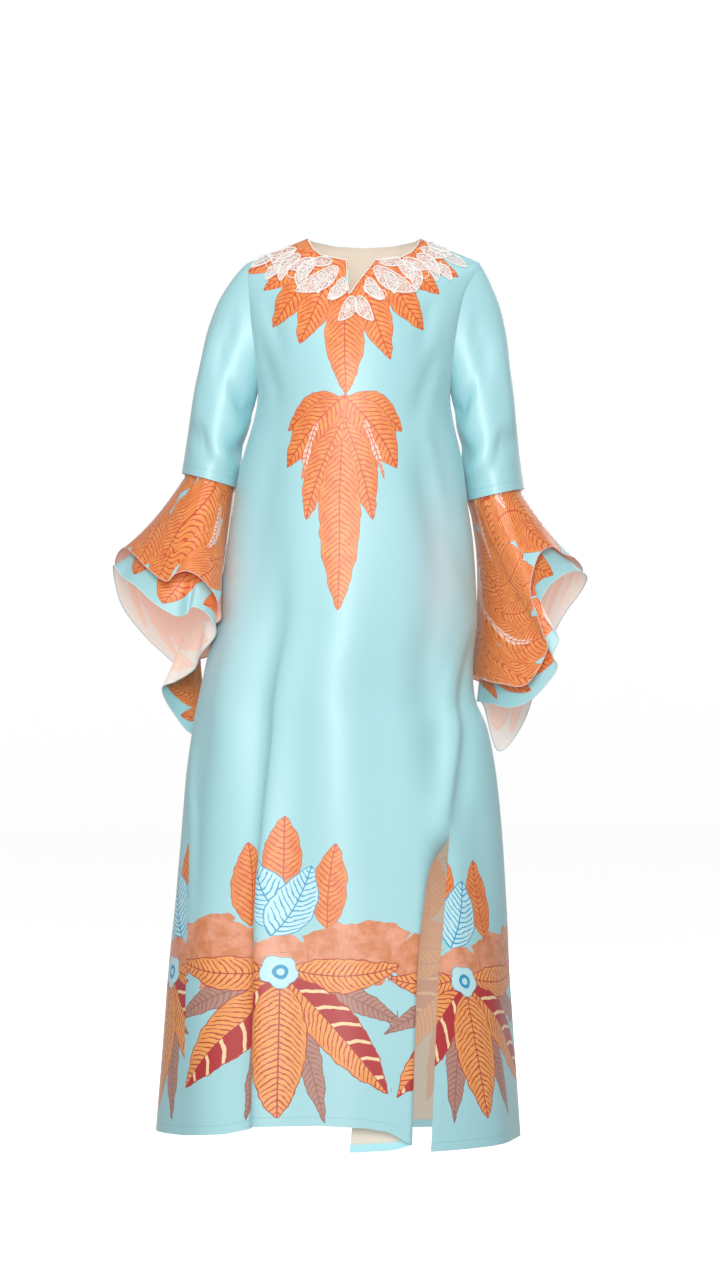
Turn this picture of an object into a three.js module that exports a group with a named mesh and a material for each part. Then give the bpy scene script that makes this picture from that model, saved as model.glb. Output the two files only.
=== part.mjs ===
import * as THREE from 'three';

// A long A-line kaftan dress, worn and hollow, with wide sleeves and two flounces on each sleeve.
// Sizes are in millimetres. +X is the wearer's left, -Y the front and +Z up.
// The origin lies between the two points where the neckline meets the shoulder seams.
const clothWall = 1.5;
const laceWall = 1.0;
const seamGap = 0.3;
const flounceGap = 0.8;
const flounceEase = 2.2;
const flounceDrop = 6;
const shoulderTip = { x: 179, y: 4, z: -38 };
const neckPoint = { x: 87, y: 6, z: 0 };
const underarmZ = -240;
const armholeFront = 40;
const armholeBack = 46;
const shoulderRound = 75;
const slitTopZ = -900;
const slitBlend = 50;

// Horizontal sections of the dress: half the width, where its middle lies, and the depth of each side.
const bodySections = [
  { z: 10, halfWidth: 179, centreX: 0, sideY: 5, frontY: -50, backY: 58 },
  { z: -38, halfWidth: 179, centreX: 0, sideY: 4, frontY: -62, backY: 76 },
  { z: -83, halfWidth: 167, centreX: -10, sideY: 3, frontY: -84, backY: 90 },
  { z: -126, halfWidth: 160, centreX: -14, sideY: 3, frontY: -103, backY: 97 },
  { z: -181, halfWidth: 153, centreX: -15, sideY: 3, frontY: -121, backY: 99 },
  { z: -240, halfWidth: 149, centreX: -15, sideY: 3, frontY: -130, backY: 98 },
  { z: -279, halfWidth: 151, centreX: -15, sideY: -6, frontY: -133, backY: 96 },
  { z: -355, halfWidth: 168, centreX: -16, sideY: -16, frontY: -133, backY: 94 },
  { z: -415, halfWidth: 177, centreX: -18, sideY: -22, frontY: -133, backY: 96 },
  { z: -476, halfWidth: 184, centreX: -20, sideY: -25, frontY: -134, backY: 100 },
  { z: -589, halfWidth: 196, centreX: -27, sideY: -28, frontY: -138, backY: 112 },
  { z: -660, halfWidth: 206, centreX: -36, sideY: -28, frontY: -143, backY: 121 },
  { z: -715, halfWidth: 217, centreX: -40, sideY: -28, frontY: -147, backY: 128 },
  { z: -760, halfWidth: 230, centreX: -36, sideY: -27, frontY: -152, backY: 134 },
  { z: -842, halfWidth: 241, centreX: -35, sideY: -26, frontY: -160, backY: 145 },
  { z: -1026, halfWidth: 256, centreX: -36, sideY: -22, frontY: -178, backY: 165 },
  { z: -1150, halfWidth: 265, centreX: -38, sideY: -16, frontY: -190, backY: 180 },
  { z: -1410, halfWidth: 282, centreX: -39, sideY: -8, frontY: -210, backY: 200 },
];

// Lines that run down the dress, in degrees round it: 0 is the front, 90 the wearer's left side.
const bodyLines = [
  { z: -240, rightSeam: -90, foldA: -36, foldB: 35, leftSeam: 90, sideValley: 42 },
  { z: -408, rightSeam: -93, foldA: -33, foldB: 31, leftSeam: 88, sideValley: 50 },
  { z: -590, rightSeam: -93, foldA: -29, foldB: 29, leftSeam: 76, sideValley: 80 },
  { z: -716, rightSeam: -91, foldA: -29, foldB: 28.5, leftSeam: 62, sideValley: 84 },
  { z: -842, rightSeam: -80, foldA: -29.5, foldB: 27.5, leftSeam: 48, sideValley: 84 },
  { z: -905, rightSeam: -71, foldA: -30, foldB: 27, leftSeam: 43, sideValley: 84 },
  { z: -1026, rightSeam: -65, foldA: -31, foldB: 26, leftSeam: 38, sideValley: 84 },
  { z: -1150, rightSeam: -61, foldA: -29.5, foldB: 24, leftSeam: 34, sideValley: 84 },
  { z: -1410, rightSeam: -55, foldA: -27.5, foldB: 21, leftSeam: 29, sideValley: 84 },
];

// Folds: each lies on a line, or at an angle, with an offset along the cloth. Raise lifts a ridge,
// step lifts one side over the other and pull draws both sides together over the crease.
const bodyFolds = [
  { line: 'foldA', offset: 0, width: 30, raise: 0, step: 11, pull: 24, from: -330, full: -950, end: -2000 },
  { line: 'foldA', offset: -80, width: 34, raise: 7, step: 0, pull: 0, from: -560, full: -1100, end: -2000 },
  { line: 'foldB', offset: 44, width: 30, raise: -13, step: 0, pull: 0, from: -330, full: -640, end: -900 },
  { line: 'foldB', offset: -95, width: 45, raise: 4, step: 0, pull: 0, from: -420, full: -1000, end: -2000 },
  { line: 'leftSeam', offset: 0, width: 22, raise: 0, step: -7, pull: 8, from: -560, full: -760, end: -960 },
  { line: 'sideValley', offset: 0, width: 30, raise: -6, step: 0, pull: 0, from: -290, full: -400, end: -600 },
  { angle: 78, offset: 0, width: 46, raise: -9, step: 0, pull: 0, from: -820, full: -1250, end: -2000 },
  { angle: 128, offset: 0, width: 48, raise: 12, step: 0, pull: 0, from: -420, full: -1100, end: -2000 },
  { angle: 156, offset: 0, width: 42, raise: -13, step: 0, pull: 0, from: -330, full: -900, end: -2000 },
  { angle: 186, offset: 0, width: 50, raise: 10, step: 0, pull: 0, from: -420, full: -1200, end: -2000 },
  { angle: 214, offset: 0, width: 34, raise: 0, step: 10, pull: 14, from: -380, full: -1000, end: -2000 },
  { angle: 246, offset: 0, width: 46, raise: 11, step: 0, pull: 0, from: -560, full: -1200, end: -2000 },
];

// The cloth beside the slit rolls in behind the front: its width, how far it turns, and over what length.
const slitRoll = [
  { z: -900, width: 62, turn: 0, roll: 60 },
  { z: -925, width: 64, turn: 22, roll: 58 },
  { z: -955, width: 67, turn: 55, roll: 52 },
  { z: -1000, width: 74, turn: 100, roll: 42 },
  { z: -1060, width: 81, turn: 138, roll: 30 },
  { z: -1130, width: 88, turn: 154, roll: 26 },
  { z: -1250, width: 98, turn: 160, roll: 24 },
  { z: -1410, width: 110, turn: 164, roll: 24 },
];

// The front's columns: where the three stretches of it begin and end, and its top edge and hem.
const frontColumns = { seam: 0, foldA: 8, foldB: 23, slit: 31 };
const frontTop = [
  { column: 0, x: -179, y: 4, z: -38 },
  { column: 9, x: -87, y: 6, z: 0 },
  { column: 10, x: -80, y: -20, z: -18 },
  { column: 11, x: -66, y: -42, z: -30 },
  { column: 12, x: -46, y: -55, z: -35 },
  { column: 13, x: -26, y: -61, z: -39 },
  { column: 14, x: -19, y: -76, z: -66 },
  { column: 15, x: -11, y: -89, z: -93 },
  { column: 16, x: 3, y: -76, z: -66 },
  { column: 17, x: 16, y: -61, z: -39 },
  { column: 18, x: 37, y: -58, z: -38 },
  { column: 19, x: 56, y: -49, z: -34 },
  { column: 20, x: 72, y: -34, z: -25 },
  { column: 21, x: 83, y: -14, z: -12 },
  { column: 22, x: 87, y: 6, z: 0 },
  { column: 31, x: 179, y: 4, z: -38 },
];
const frontHem = [
  { column: 0, z: -1375 },
  { column: 5, z: -1368 },
  { column: 8, z: -1354 },
  { column: 15, z: -1350 },
  { column: 23, z: -1351 },
  { column: 26, z: -1368 },
  { column: 31, z: -1392 },
];

// The back's columns, from the wearer's left seam round to the right seam.
const backColumns = 24;
const backTop = [
  { column: 0, x: 179, y: 4, z: -38 },
  { column: 7, x: 87, y: 6, z: 0 },
  { column: 8, x: 79, y: 30, z: -3 },
  { column: 10, x: 45, y: 52, z: -8 },
  { column: 12, x: 0, y: 60, z: -10 },
  { column: 14, x: -45, y: 52, z: -8 },
  { column: 16, x: -79, y: 30, z: -3 },
  { column: 17, x: -87, y: 6, z: 0 },
  { column: 24, x: -179, y: 4, z: -38 },
];
const backHem = [
  { column: 0, z: -1392 },
  { column: 5, z: -1390 },
  { column: 12, z: -1400 },
  { column: 19, z: -1384 },
  { column: 24, z: -1375 },
];
const upperRows = 9;
const lowerRows = 19;

// Sleeves: the middle, half widths and tilt of each sleeve's hem, as it hangs, and how far outwards
// the cloth leaves the armhole, with the difference between its outer and inner side.
const sleeveHems = {
  right: { sign: -1, x: -239, y: 18, z: -376, halfX: 44, halfY: 72, lift: 12, leaveMid: 0.55, leaveSwing: 0.3 },
  left: { sign: 1, x: 204, y: 22, z: -398, halfX: 46, halfY: 73, lift: 10, leaveMid: 0.35, leaveSwing: 0.1 },
};
const sleeveAround = 2 * upperRows;
const sleeveRows = 7;

// Flounce hems, in order from the outer side over the front, the inner side and the back.
const flounceHems = {
  flounce_upper_right: [
    { x: -372, y: 5, z: -480 },
    { x: -352, y: -44, z: -493 },
    { x: -330, y: -80, z: -514 },
    { x: -302, y: -112, z: -533 },
    { x: -287, y: -112, z: -522 },
    { x: -268, y: -118, z: -518 },
    { x: -246, y: -114, z: -530 },
    { x: -226, y: -102, z: -556 },
    { x: -218, y: -86, z: -588 },
    { x: -232, y: -52, z: -602 },
    { x: -236, y: -10, z: -610 },
    { x: -232, y: 36, z: -622 },
    { x: -236, y: 84, z: -642 },
    { x: -262, y: 132, z: -652 },
    { x: -300, y: 160, z: -636 },
    { x: -330, y: 146, z: -612 },
    { x: -356, y: 124, z: -580 },
    { x: -384, y: 98, z: -544 },
    { x: -388, y: 50, z: -500 },
  ],
  flounce_lower_right: [
    { x: -389, y: 10, z: -509 },
    { x: -372, y: -34, z: -526 },
    { x: -350, y: -64, z: -540 },
    { x: -318, y: -92, z: -568 },
    { x: -286, y: -98, z: -586 },
    { x: -270, y: -86, z: -582 },
    { x: -262, y: -92, z: -572 },
    { x: -240, y: -90, z: -582 },
    { x: -226, y: -78, z: -612 },
    { x: -250, y: -48, z: -644 },
    { x: -262, y: -6, z: -668 },
    { x: -292, y: 30, z: -687 },
    { x: -315, y: 52, z: -699 },
    { x: -300, y: 78, z: -735 },
    { x: -268, y: 96, z: -770 },
    { x: -252, y: 116, z: -716 },
    { x: -296, y: 136, z: -664 },
    { x: -344, y: 116, z: -618 },
    { x: -380, y: 68, z: -566 },
  ],
  flounce_upper_left: [
    { x: 328, y: 12, z: -497 },
    { x: 308, y: -16, z: -490 },
    { x: 290, y: -40, z: -479 },
    { x: 270, y: -62, z: -490 },
    { x: 258, y: -78, z: -520 },
    { x: 254, y: -90, z: -552 },
    { x: 264, y: -100, z: -584 },
    { x: 272, y: -106, z: -612 },
    { x: 278, y: -106, z: -640 },
    { x: 248, y: -98, z: -690 },
    { x: 212, y: -72, z: -690 },
    { x: 184, y: -26, z: -684 },
    { x: 166, y: 30, z: -676 },
    { x: 171, y: 86, z: -684 },
    { x: 206, y: 132, z: -690 },
    { x: 246, y: 152, z: -664 },
    { x: 282, y: 140, z: -618 },
    { x: 318, y: 118, z: -568 },
    { x: 342, y: 64, z: -520 },
  ],
  flounce_lower_left: [
    { x: 346, y: 14, z: -524 },
    { x: 326, y: -12, z: -516 },
    { x: 302, y: -34, z: -526 },
    { x: 280, y: -54, z: -546 },
    { x: 270, y: -70, z: -572 },
    { x: 284, y: -84, z: -598 },
    { x: 297, y: -88, z: -622 },
    { x: 288, y: -90, z: -646 },
    { x: 294, y: -90, z: -668 },
    { x: 258, y: -80, z: -712 },
    { x: 226, y: -58, z: -726 },
    { x: 196, y: -18, z: -721 },
    { x: 176, y: 28, z: -718 },
    { x: 188, y: 70, z: -726 },
    { x: 212, y: 92, z: -797 },
    { x: 254, y: 114, z: -748 },
    { x: 284, y: 122, z: -650 },
    { x: 312, y: 100, z: -588 },
    { x: 340, y: 58, z: -546 },
  ],
};
const flounceAround = 2 * sleeveAround;
const flounceRows = 5;

// The lace round the neckline: how far it reaches down from the edge, column by column.
const laceDepths = [
  { column: 9, depth: 26 },
  { column: 9.5, depth: 34 },
  { column: 10, depth: 24 },
  { column: 10.5, depth: 40 },
  { column: 11, depth: 30 },
  { column: 11.5, depth: 46 },
  { column: 12, depth: 34 },
  { column: 12.5, depth: 62 },
  { column: 13, depth: 50 },
  { column: 13.5, depth: 40 },
  { column: 14, depth: 46 },
  { column: 14.5, depth: 34 },
  { column: 15, depth: 28 },
  { column: 15.5, depth: 34 },
  { column: 16, depth: 46 },
  { column: 16.5, depth: 40 },
  { column: 17, depth: 50 },
  { column: 17.5, depth: 62 },
  { column: 18, depth: 34 },
  { column: 18.5, depth: 48 },
  { column: 19, depth: 32 },
  { column: 19.5, depth: 42 },
  { column: 20, depth: 28 },
  { column: 20.5, depth: 38 },
  { column: 21, depth: 24 },
  { column: 21.5, depth: 32 },
  { column: 22, depth: 22 },
];
const laceInset = 1.5;
const laceLift = 1.5;
const laceRows = 6;

const degree = Math.PI / 180;
const lerp = (a, b, t) => a + (b - a) * t;
const clamp = (t) => Math.min(1, Math.max(0, t));
const smooth = (t) => clamp(t) ** 2 * (3 - 2 * clamp(t));

// Reads one column of a table at any key, on straight lines between its rows.
function readLinear(table, keyName, column, at) {
  const rising = table[table.length - 1][keyName] > table[0][keyName];
  let i = 0;
  while (i < table.length - 2 && (rising ? at > table[i + 1][keyName] : at < table[i + 1][keyName])) {
    i += 1;
  }
  const t = clamp((at - table[i][keyName]) / (table[i + 1][keyName] - table[i][keyName]));
  return lerp(table[i][column], table[i + 1][column], t);
}

// Reads one column of a table by height, on a smooth curve through its rows.
function readSmooth(table, column, z) {
  const last = table.length - 1;
  let i = 0;
  while (i < last - 1 && z < table[i + 1].z) {
    i += 1;
  }
  const slope = (k) => {
    const lo = Math.max(0, k - 1);
    const hi = Math.min(last, k + 1);
    return (table[hi][column] - table[lo][column]) / (table[hi].z - table[lo].z);
  };
  const span = table[i + 1].z - table[i].z;
  const t = clamp((z - table[i].z) / span);
  const startPart = (1 + 2 * t) * (1 - t) ** 2 * table[i][column] + t * (1 - t) ** 2 * span * slope(i);
  const endPart = t * t * (3 - 2 * t) * table[i + 1][column] + t * t * (t - 1) * span * slope(i + 1);
  return startPart + endPart;
}

// How far the armhole's curve stands from its straight line, from 0 at its ends to 1 half way.
function armholeArch(z) {
  const middle = (shoulderTip.z + underarmZ) / 2;
  const half = (shoulderTip.z - underarmZ) / 2;
  return Math.sqrt(Math.max(0, 1 - ((z - middle) / half) ** 2));
}

function sectionAt(z) {
  const side = readSmooth(bodySections, 'sideY', z);
  const arch = armholeArch(z);
  return {
    halfWidth: readSmooth(bodySections, 'halfWidth', z),
    centreX: readSmooth(bodySections, 'centreX', z),
    sideFront: side - armholeFront * arch,
    sideBack: side + armholeBack * arch,
    frontY: readSmooth(bodySections, 'frontY', z),
    backY: readSmooth(bodySections, 'backY', z),
    flatness: lerp(1, 1.8, smooth((z - underarmZ) / (shoulderTip.z - underarmZ))),
  };
}

// The y of the cloth at a part of the half width, on the front or the back.
function depthAt(section, part, isFront) {
  const bulge = Math.sqrt(Math.max(0, 1 - part * part)) ** section.flatness;
  if (isFront) {
    return lerp(section.sideFront, section.frontY, bulge);
  }
  return lerp(section.sideBack, section.backY, bulge);
}

// A point of the body at an angle and a height: an oval section, moved by every fold that passes it.
function bodyPoint(angle, z) {
  const section = sectionAt(z);
  const sin = Math.sin(angle * degree);
  const cos = Math.cos(angle * degree);
  const isFront = cos >= 0;
  const depth = isFront ? section.sideFront - section.frontY : section.backY - section.sideBack;
  const outward = new THREE.Vector2(sin * depth, -cos * section.halfWidth).normalize();
  const along = new THREE.Vector2(-outward.y, outward.x);
  let out = 0;
  let slide = 0;
  for (const fold of bodyFolds) {
    const foldAngle = fold.line ? readSmooth(bodyLines, fold.line, z) : fold.angle;
    const turn = ((angle - foldAngle + 540) % 360) - 180;
    const radius = Math.hypot(section.halfWidth * cos, depth * sin);
    const q = (turn * degree * radius - fold.offset) / fold.width;
    const strength = smooth((fold.from - z) / (fold.from - fold.full)) * smooth((z - fold.end) / 120);
    const bump = Math.exp(-q * q) * strength;
    out += fold.raise * bump + fold.step * 2 * q * bump;
    slide -= fold.pull * q * bump;
  }
  return new THREE.Vector3(
    section.centreX + section.halfWidth * sin + outward.x * out + along.x * slide,
    depthAt(section, sin, isFront) + outward.y * out + along.y * slide,
    z,
  );
}

function seamAngle(z) {
  return (seamGap / 2 / readSmooth(bodySections, 'halfWidth', z)) / degree;
}

function frontAngle(column, z) {
  const lines = ['rightSeam', 'foldA', 'foldB', 'leftSeam'].map((name) => readSmooth(bodyLines, name, z));
  lines[0] += seamAngle(z);
  lines[3] -= seamAngle(z);
  const stops = Object.values(frontColumns);
  let i = 0;
  while (i < 2 && column > stops[i + 1]) {
    i += 1;
  }
  return lerp(lines[i], lines[i + 1], (column - stops[i]) / (stops[i + 1] - stops[i]));
}

function backAngle(column, z) {
  const start = readSmooth(bodyLines, 'leftSeam', z) + seamAngle(z);
  const end = 360 + readSmooth(bodyLines, 'rightSeam', z) - seamAngle(z);
  return lerp(start, end, column / backColumns);
}

// The upper part of a panel, from its top edge down to the underarm.
function upperPoint(topTable, column, columns, row, baseAngle, isFront) {
  const top = {
    x: readLinear(topTable, 'column', 'x', column),
    y: readLinear(topTable, 'column', 'y', column) + (isFront ? -seamGap / 2 : seamGap / 2),
    z: readLinear(topTable, 'column', 'z', column),
  };
  const edge = Math.abs(2 * column / columns - 1) ** 4;
  const t = row / upperRows;
  const fall = lerp(t, (1 - Math.cos(Math.PI * t)) / 2, edge);
  const z = lerp(top.z, underarmZ, fall);
  const part = lerp(top.x / shoulderTip.x, Math.sin(baseAngle * degree), fall);
  const section = sectionAt(z);
  const roundT = clamp((top.z - z) / lerp(shoulderRound, 1, edge));
  const blend = Math.sqrt(1 - (1 - roundT) ** 2);
  const y = lerp(top.y, depthAt(section, part, isFront), blend);
  return new THREE.Vector3(section.centreX + section.halfWidth * part, y, z);
}

// The strip beside the slit: it leaves fold B along the cloth and turns in as it goes.
function slitPoint(column, z) {
  const share = (column - frontColumns.foldB) / (frontColumns.slit - frontColumns.foldB);
  const width = readSmooth(slitRoll, 'width', z);
  const turn = readSmooth(slitRoll, 'turn', z) * degree;
  const roll = readSmooth(slitRoll, 'roll', z);
  const start = frontAngle(frontColumns.foldB, z);
  const end = frontAngle(frontColumns.slit, z);
  const point = bodyPoint(start, z);
  const before = bodyPoint(start - 0.5, z);
  const heading = Math.atan2(point.y - before.y, point.x - before.x);
  const steps = 40;
  for (let i = 0; i < steps; i += 1) {
    const s = ((i + 0.5) / steps) * share * width;
    const natural = ((end - start) * degree * s) / width;
    const angle = heading + natural + turn * smooth(s / roll);
    point.x += Math.cos(angle) * share * width / steps;
    point.y += Math.sin(angle) * share * width / steps;
  }
  return point;
}

function frontPoint(column, row) {
  if (row <= upperRows) {
    const baseAngle = clampAngle(frontAngle(column, underarmZ));
    return upperPoint(frontTop, column, frontColumns.slit, row, baseAngle, true);
  }
  const hem = readLinear(frontHem, 'column', 'z', column);
  const z = lerp(underarmZ, hem, (row - upperRows) / lowerRows);
  const point = bodyPoint(frontAngle(column, z), z);
  if (column <= frontColumns.foldB || z >= slitTopZ) {
    return point;
  }
  return point.lerp(slitPoint(column, z), smooth((slitTopZ - z) / slitBlend));
}

function backPoint(column, row) {
  if (row <= upperRows) {
    return upperPoint(backTop, column, backColumns, row, backAngle(column, underarmZ), false);
  }
  const hem = readLinear(backHem, 'column', 'z', column);
  const z = lerp(underarmZ, hem, (row - upperRows) / lowerRows);
  return bodyPoint(backAngle(column, z), z);
}

function clampAngle(angle) {
  return Math.min(90, Math.max(-90, angle));
}

// The armhole's point at an angle round the arm: 0 on top, 90 at the front and 180 underneath.
function armholePoint(sign, angle) {
  const z = lerp(underarmZ, shoulderTip.z, (1 + Math.cos(angle)) / 2);
  const section = sectionAt(z);
  const y = Math.sin(angle) >= 0 ? section.sideFront : section.sideBack;
  return new THREE.Vector3(section.centreX + sign * section.halfWidth, y, z);
}

// A sleeve line runs on a curve from the armhole to the sleeve's hem, t from 0 to 1.
function sleevePoint(hem, angle, t) {
  const start = armholePoint(hem.sign, angle);
  start.x += hem.sign * seamGap;
  const end = new THREE.Vector3(
    hem.x + hem.sign * hem.halfX * Math.cos(angle),
    hem.y - hem.halfY * Math.sin(angle),
    hem.z + hem.lift * Math.cos(angle),
  );
  const length = start.distanceTo(end);
  const outward = hem.leaveMid + hem.leaveSwing * Math.cos(angle);
  const leave = new THREE.Vector3(hem.sign * outward, 0.04, -0.85 + 0.2 * Math.cos(angle));
  const arrive = new THREE.Vector3(hem.sign * 0.16, -0.03, -0.98);
  const curve = new THREE.CubicBezierCurve3(
    start,
    start.clone().addScaledVector(leave.normalize(), length * 0.25),
    end.clone().addScaledVector(arrive.normalize(), -length * 0.33),
    end,
  );
  return curve.getPoint(t);
}

// The sleeve's inner face at a share of its length, moved in by a distance, on its own flat sides.
function sleeveInside(hem, share, t, inset) {
  const place = share * sleeveAround;
  const low = Math.floor(place) % sleeveAround;
  const cornerAt = (k) => {
    const angle = (k / sleeveAround) * 2 * Math.PI;
    const point = sleevePoint(hem, angle, t);
    const inward = new THREE.Vector3(-hem.sign * Math.cos(angle) * hem.halfY, Math.sin(angle) * hem.halfX, 0);
    return point.addScaledVector(inward.normalize(), inset);
  };
  return cornerAt(low).lerp(cornerAt((low + 1) % sleeveAround), place - Math.floor(place));
}

// A closed curve through a flounce's hem rows, at a share of the way round.
function hemCurve(rows, share) {
  const count = rows.length;
  const place = ((share % 1) + 1) % 1 * count;
  const i = Math.floor(place);
  const t = place - i;
  const [a, b, c, d] = [-1, 0, 1, 2].map((k) => rows[(i + k + count) % count]);
  const blend = (axis) => {
    const slopeB = (c[axis] - a[axis]) / 2;
    const slopeC = (d[axis] - b[axis]) / 2;
    const rise = (1 + 2 * t) * (1 - t) ** 2 * b[axis] + t * (1 - t) ** 2 * slopeB;
    return rise + t * t * (3 - 2 * t) * c[axis] + t * t * (t - 1) * slopeC;
  };
  return new THREE.Vector3(blend('x'), blend('y'), blend('z'));
}

// A flounce: sewn inside the sleeve's hem, it flares to its own hem and its waves grow on the way.
function flouncePoint(hem, rows, tier, share, row) {
  const inset = clothWall + flounceGap + tier * (clothWall + flounceGap);
  if (row === 0) {
    return sleeveInside(hem, share, 0.965, inset);
  }
  const neck = sleeveInside(hem, share, 1, inset + flounceEase * (1 + tier));
  neck.z -= flounceDrop + 2 * tier;
  if (row === 1) {
    return neck;
  }
  const s = (row - 1) / flounceRows;
  const plain = new THREE.Vector3();
  for (const shift of [-0.1, -0.05, 0, 0.05, 0.1]) {
    plain.addScaledVector(hemCurve(rows, share + shift), 0.2);
  }
  return neck.lerp(plain.lerp(hemCurve(rows, share), s ** 1.3), s);
}

// Works out the grid's points and the direction each one faces.
function makeGrid(columns, rows, pointAt, closed, outwardSign) {
  const across = closed ? columns : columns + 1;
  const points = [];
  for (let i = 0; i < across; i += 1) {
    points.push([]);
    for (let j = 0; j <= rows; j += 1) {
      points[i].push(pointAt(i, j));
    }
  }
  const at = (i, j) => {
    const column = closed ? (i + columns) % columns : Math.min(columns, Math.max(0, i));
    return points[column][Math.min(rows, Math.max(0, j))];
  };
  const normals = points.map((line, i) => line.map((point, j) => {
    const acrossStep = at(i + 1, j).clone().sub(at(i - 1, j));
    const downStep = at(i, j + 1).clone().sub(at(i, j - 1));
    return downStep.cross(acrossStep).multiplyScalar(outwardSign).normalize();
  }));
  return { points, normals, closed };
}

// A wall of even thickness: the grid's points outside, the same points moved in, and closed borders.
function wallMesh(name, grid, thickness, look) {
  const { points, normals, closed } = grid;
  const across = points.length;
  const down = points[0].length;
  const vertices = [];
  for (const side of [0, -thickness]) {
    for (let i = 0; i < across; i += 1) {
      for (let j = 0; j < down; j += 1) {
        const p = points[i][j].clone().addScaledVector(normals[i][j], side);
        vertices.push(p.x, p.y, p.z);
      }
    }
  }
  const outer = (i, j) => (i % across) * down + j;
  const inner = (i, j) => across * down + outer(i, j);
  const faces = [];
  const quad = (a, b, c, d) => faces.push(a, b, c, a, c, d);
  const steps = closed ? across : across - 1;
  for (let i = 0; i < steps; i += 1) {
    for (let j = 0; j < down - 1; j += 1) {
      quad(outer(i, j), outer(i, j + 1), outer(i + 1, j + 1), outer(i + 1, j));
      quad(inner(i, j), inner(i + 1, j), inner(i + 1, j + 1), inner(i, j + 1));
    }
    quad(outer(i, 0), outer(i + 1, 0), inner(i + 1, 0), inner(i, 0));
    quad(outer(i, down - 1), inner(i, down - 1), inner(i + 1, down - 1), outer(i + 1, down - 1));
  }
  if (!closed) {
    for (let j = 0; j < down - 1; j += 1) {
      quad(outer(0, j), inner(0, j), inner(0, j + 1), outer(0, j + 1));
      quad(outer(across - 1, j), outer(across - 1, j + 1), inner(across - 1, j + 1), inner(across - 1, j));
    }
  }
  const geometry = new THREE.BufferGeometry();
  geometry.setAttribute('position', new THREE.Float32BufferAttribute(vertices, 3));
  geometry.setIndex(volumeOf(vertices, faces) < 0 ? faces.toReversed() : faces);
  const mesh = new THREE.Mesh(geometry, new THREE.MeshStandardMaterial(look));
  mesh.name = name;
  return mesh;
}

function volumeOf(vertices, faces) {
  let volume = 0;
  const corner = (k) => new THREE.Vector3().fromArray(vertices, 3 * faces[k]);
  for (let k = 0; k < faces.length; k += 3) {
    volume += corner(k).dot(corner(k + 1).cross(corner(k + 2))) / 6;
  }
  return volume;
}

// The direction that the cloth faces on a side seam, the same for the front and the back.
function sideSeamNormal(line, z) {
  const step = 5;
  const angle = readSmooth(bodyLines, line, z);
  const above = bodyPoint(readSmooth(bodyLines, line, z + step), z + step);
  const below = bodyPoint(readSmooth(bodyLines, line, z - step), z - step);
  const along = bodyPoint(angle + 1, z).sub(bodyPoint(angle - 1, z));
  return below.sub(above).cross(along).normalize();
}

// Seams face one way on both sides, so that the two walls meet without crossing.
function setSeamNormals(grid, columns, topTable) {
  const shoulder = new THREE.Vector3(neckPoint.z - shoulderTip.z, 0, shoulderTip.x - neckPoint.x).normalize();
  for (const column of [0, columns]) {
    const sign = Math.sign(readLinear(topTable, 'column', 'x', column));
    for (let j = 0; j <= upperRows; j += 1) {
      const turn = Math.PI * j / upperRows;
      const forward = grid.points[column][j].y < shoulderTip.y ? -1 : 1;
      grid.normals[column][j].set(sign * 0.25, forward * Math.sin(turn), Math.cos(turn)).normalize();
    }
    grid.normals[column][upperRows].set(sign * 0.8, 0, -0.6);
    for (let j = upperRows + 1; j <= upperRows + lowerRows; j += 1) {
      const z = grid.points[column][j].z;
      if (sign < 0 || z > slitTopZ) {
        grid.normals[column][j].copy(sideSeamNormal(sign < 0 ? 'rightSeam' : 'leftSeam', z));
      }
    }
  }
  for (let i = 1; i < columns; i += 1) {
    const x = readLinear(topTable, 'column', 'x', i);
    if (Math.abs(x) > neckPoint.x - 0.5) {
      grid.normals[i][0].set(Math.sign(x) * shoulder.x, 0, shoulder.z);
    }
  }
}

const satin = { color: 0xa9dce2, roughness: 0.38, metalness: 0 };
const printedSatin = { color: 0xf58b4c, roughness: 0.42, metalness: 0 };
const laceLook = { color: 0xfbefea, roughness: 0.7, metalness: 0 };

function frontPanel() {
  const grid = makeGrid(frontColumns.slit, upperRows + lowerRows, frontPoint, false, 1);
  setSeamNormals(grid, frontColumns.slit, frontTop);
  return { grid, mesh: wallMesh('front_panel', grid, clothWall, satin) };
}

function backPanel() {
  const grid = makeGrid(backColumns, upperRows + lowerRows, backPoint, false, 1);
  setSeamNormals(grid, backColumns, backTop);
  return wallMesh('back_panel', grid, clothWall, satin);
}

function sleeve(side) {
  const hem = sleeveHems[side];
  const pointAt = (i, j) => sleevePoint(hem, (i / sleeveAround) * 2 * Math.PI, j / sleeveRows);
  const grid = makeGrid(sleeveAround, sleeveRows, pointAt, true, -hem.sign);
  for (let i = 0; i < sleeveAround; i += 1) {
    const turn = (i / sleeveAround) * 2 * Math.PI;
    const tilt = lerp(-0.35, 0.25, (1 + Math.cos(turn)) / 2);
    grid.normals[i][0].set(hem.sign * tilt, -Math.sin(turn), Math.cos(turn)).normalize();
  }
  return wallMesh(`sleeve_${side}`, grid, clothWall, satin);
}

function flounce(side, tierName, tier) {
  const name = `flounce_${tierName}_${side}`;
  const hem = sleeveHems[side];
  const pointAt = (i, j) => flouncePoint(hem, flounceHems[name], tier, i / flounceAround, j);
  const grid = makeGrid(flounceAround, flounceRows + 1, pointAt, true, -hem.sign);
  return wallMesh(name, grid, clothWall, printedSatin);
}

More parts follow.
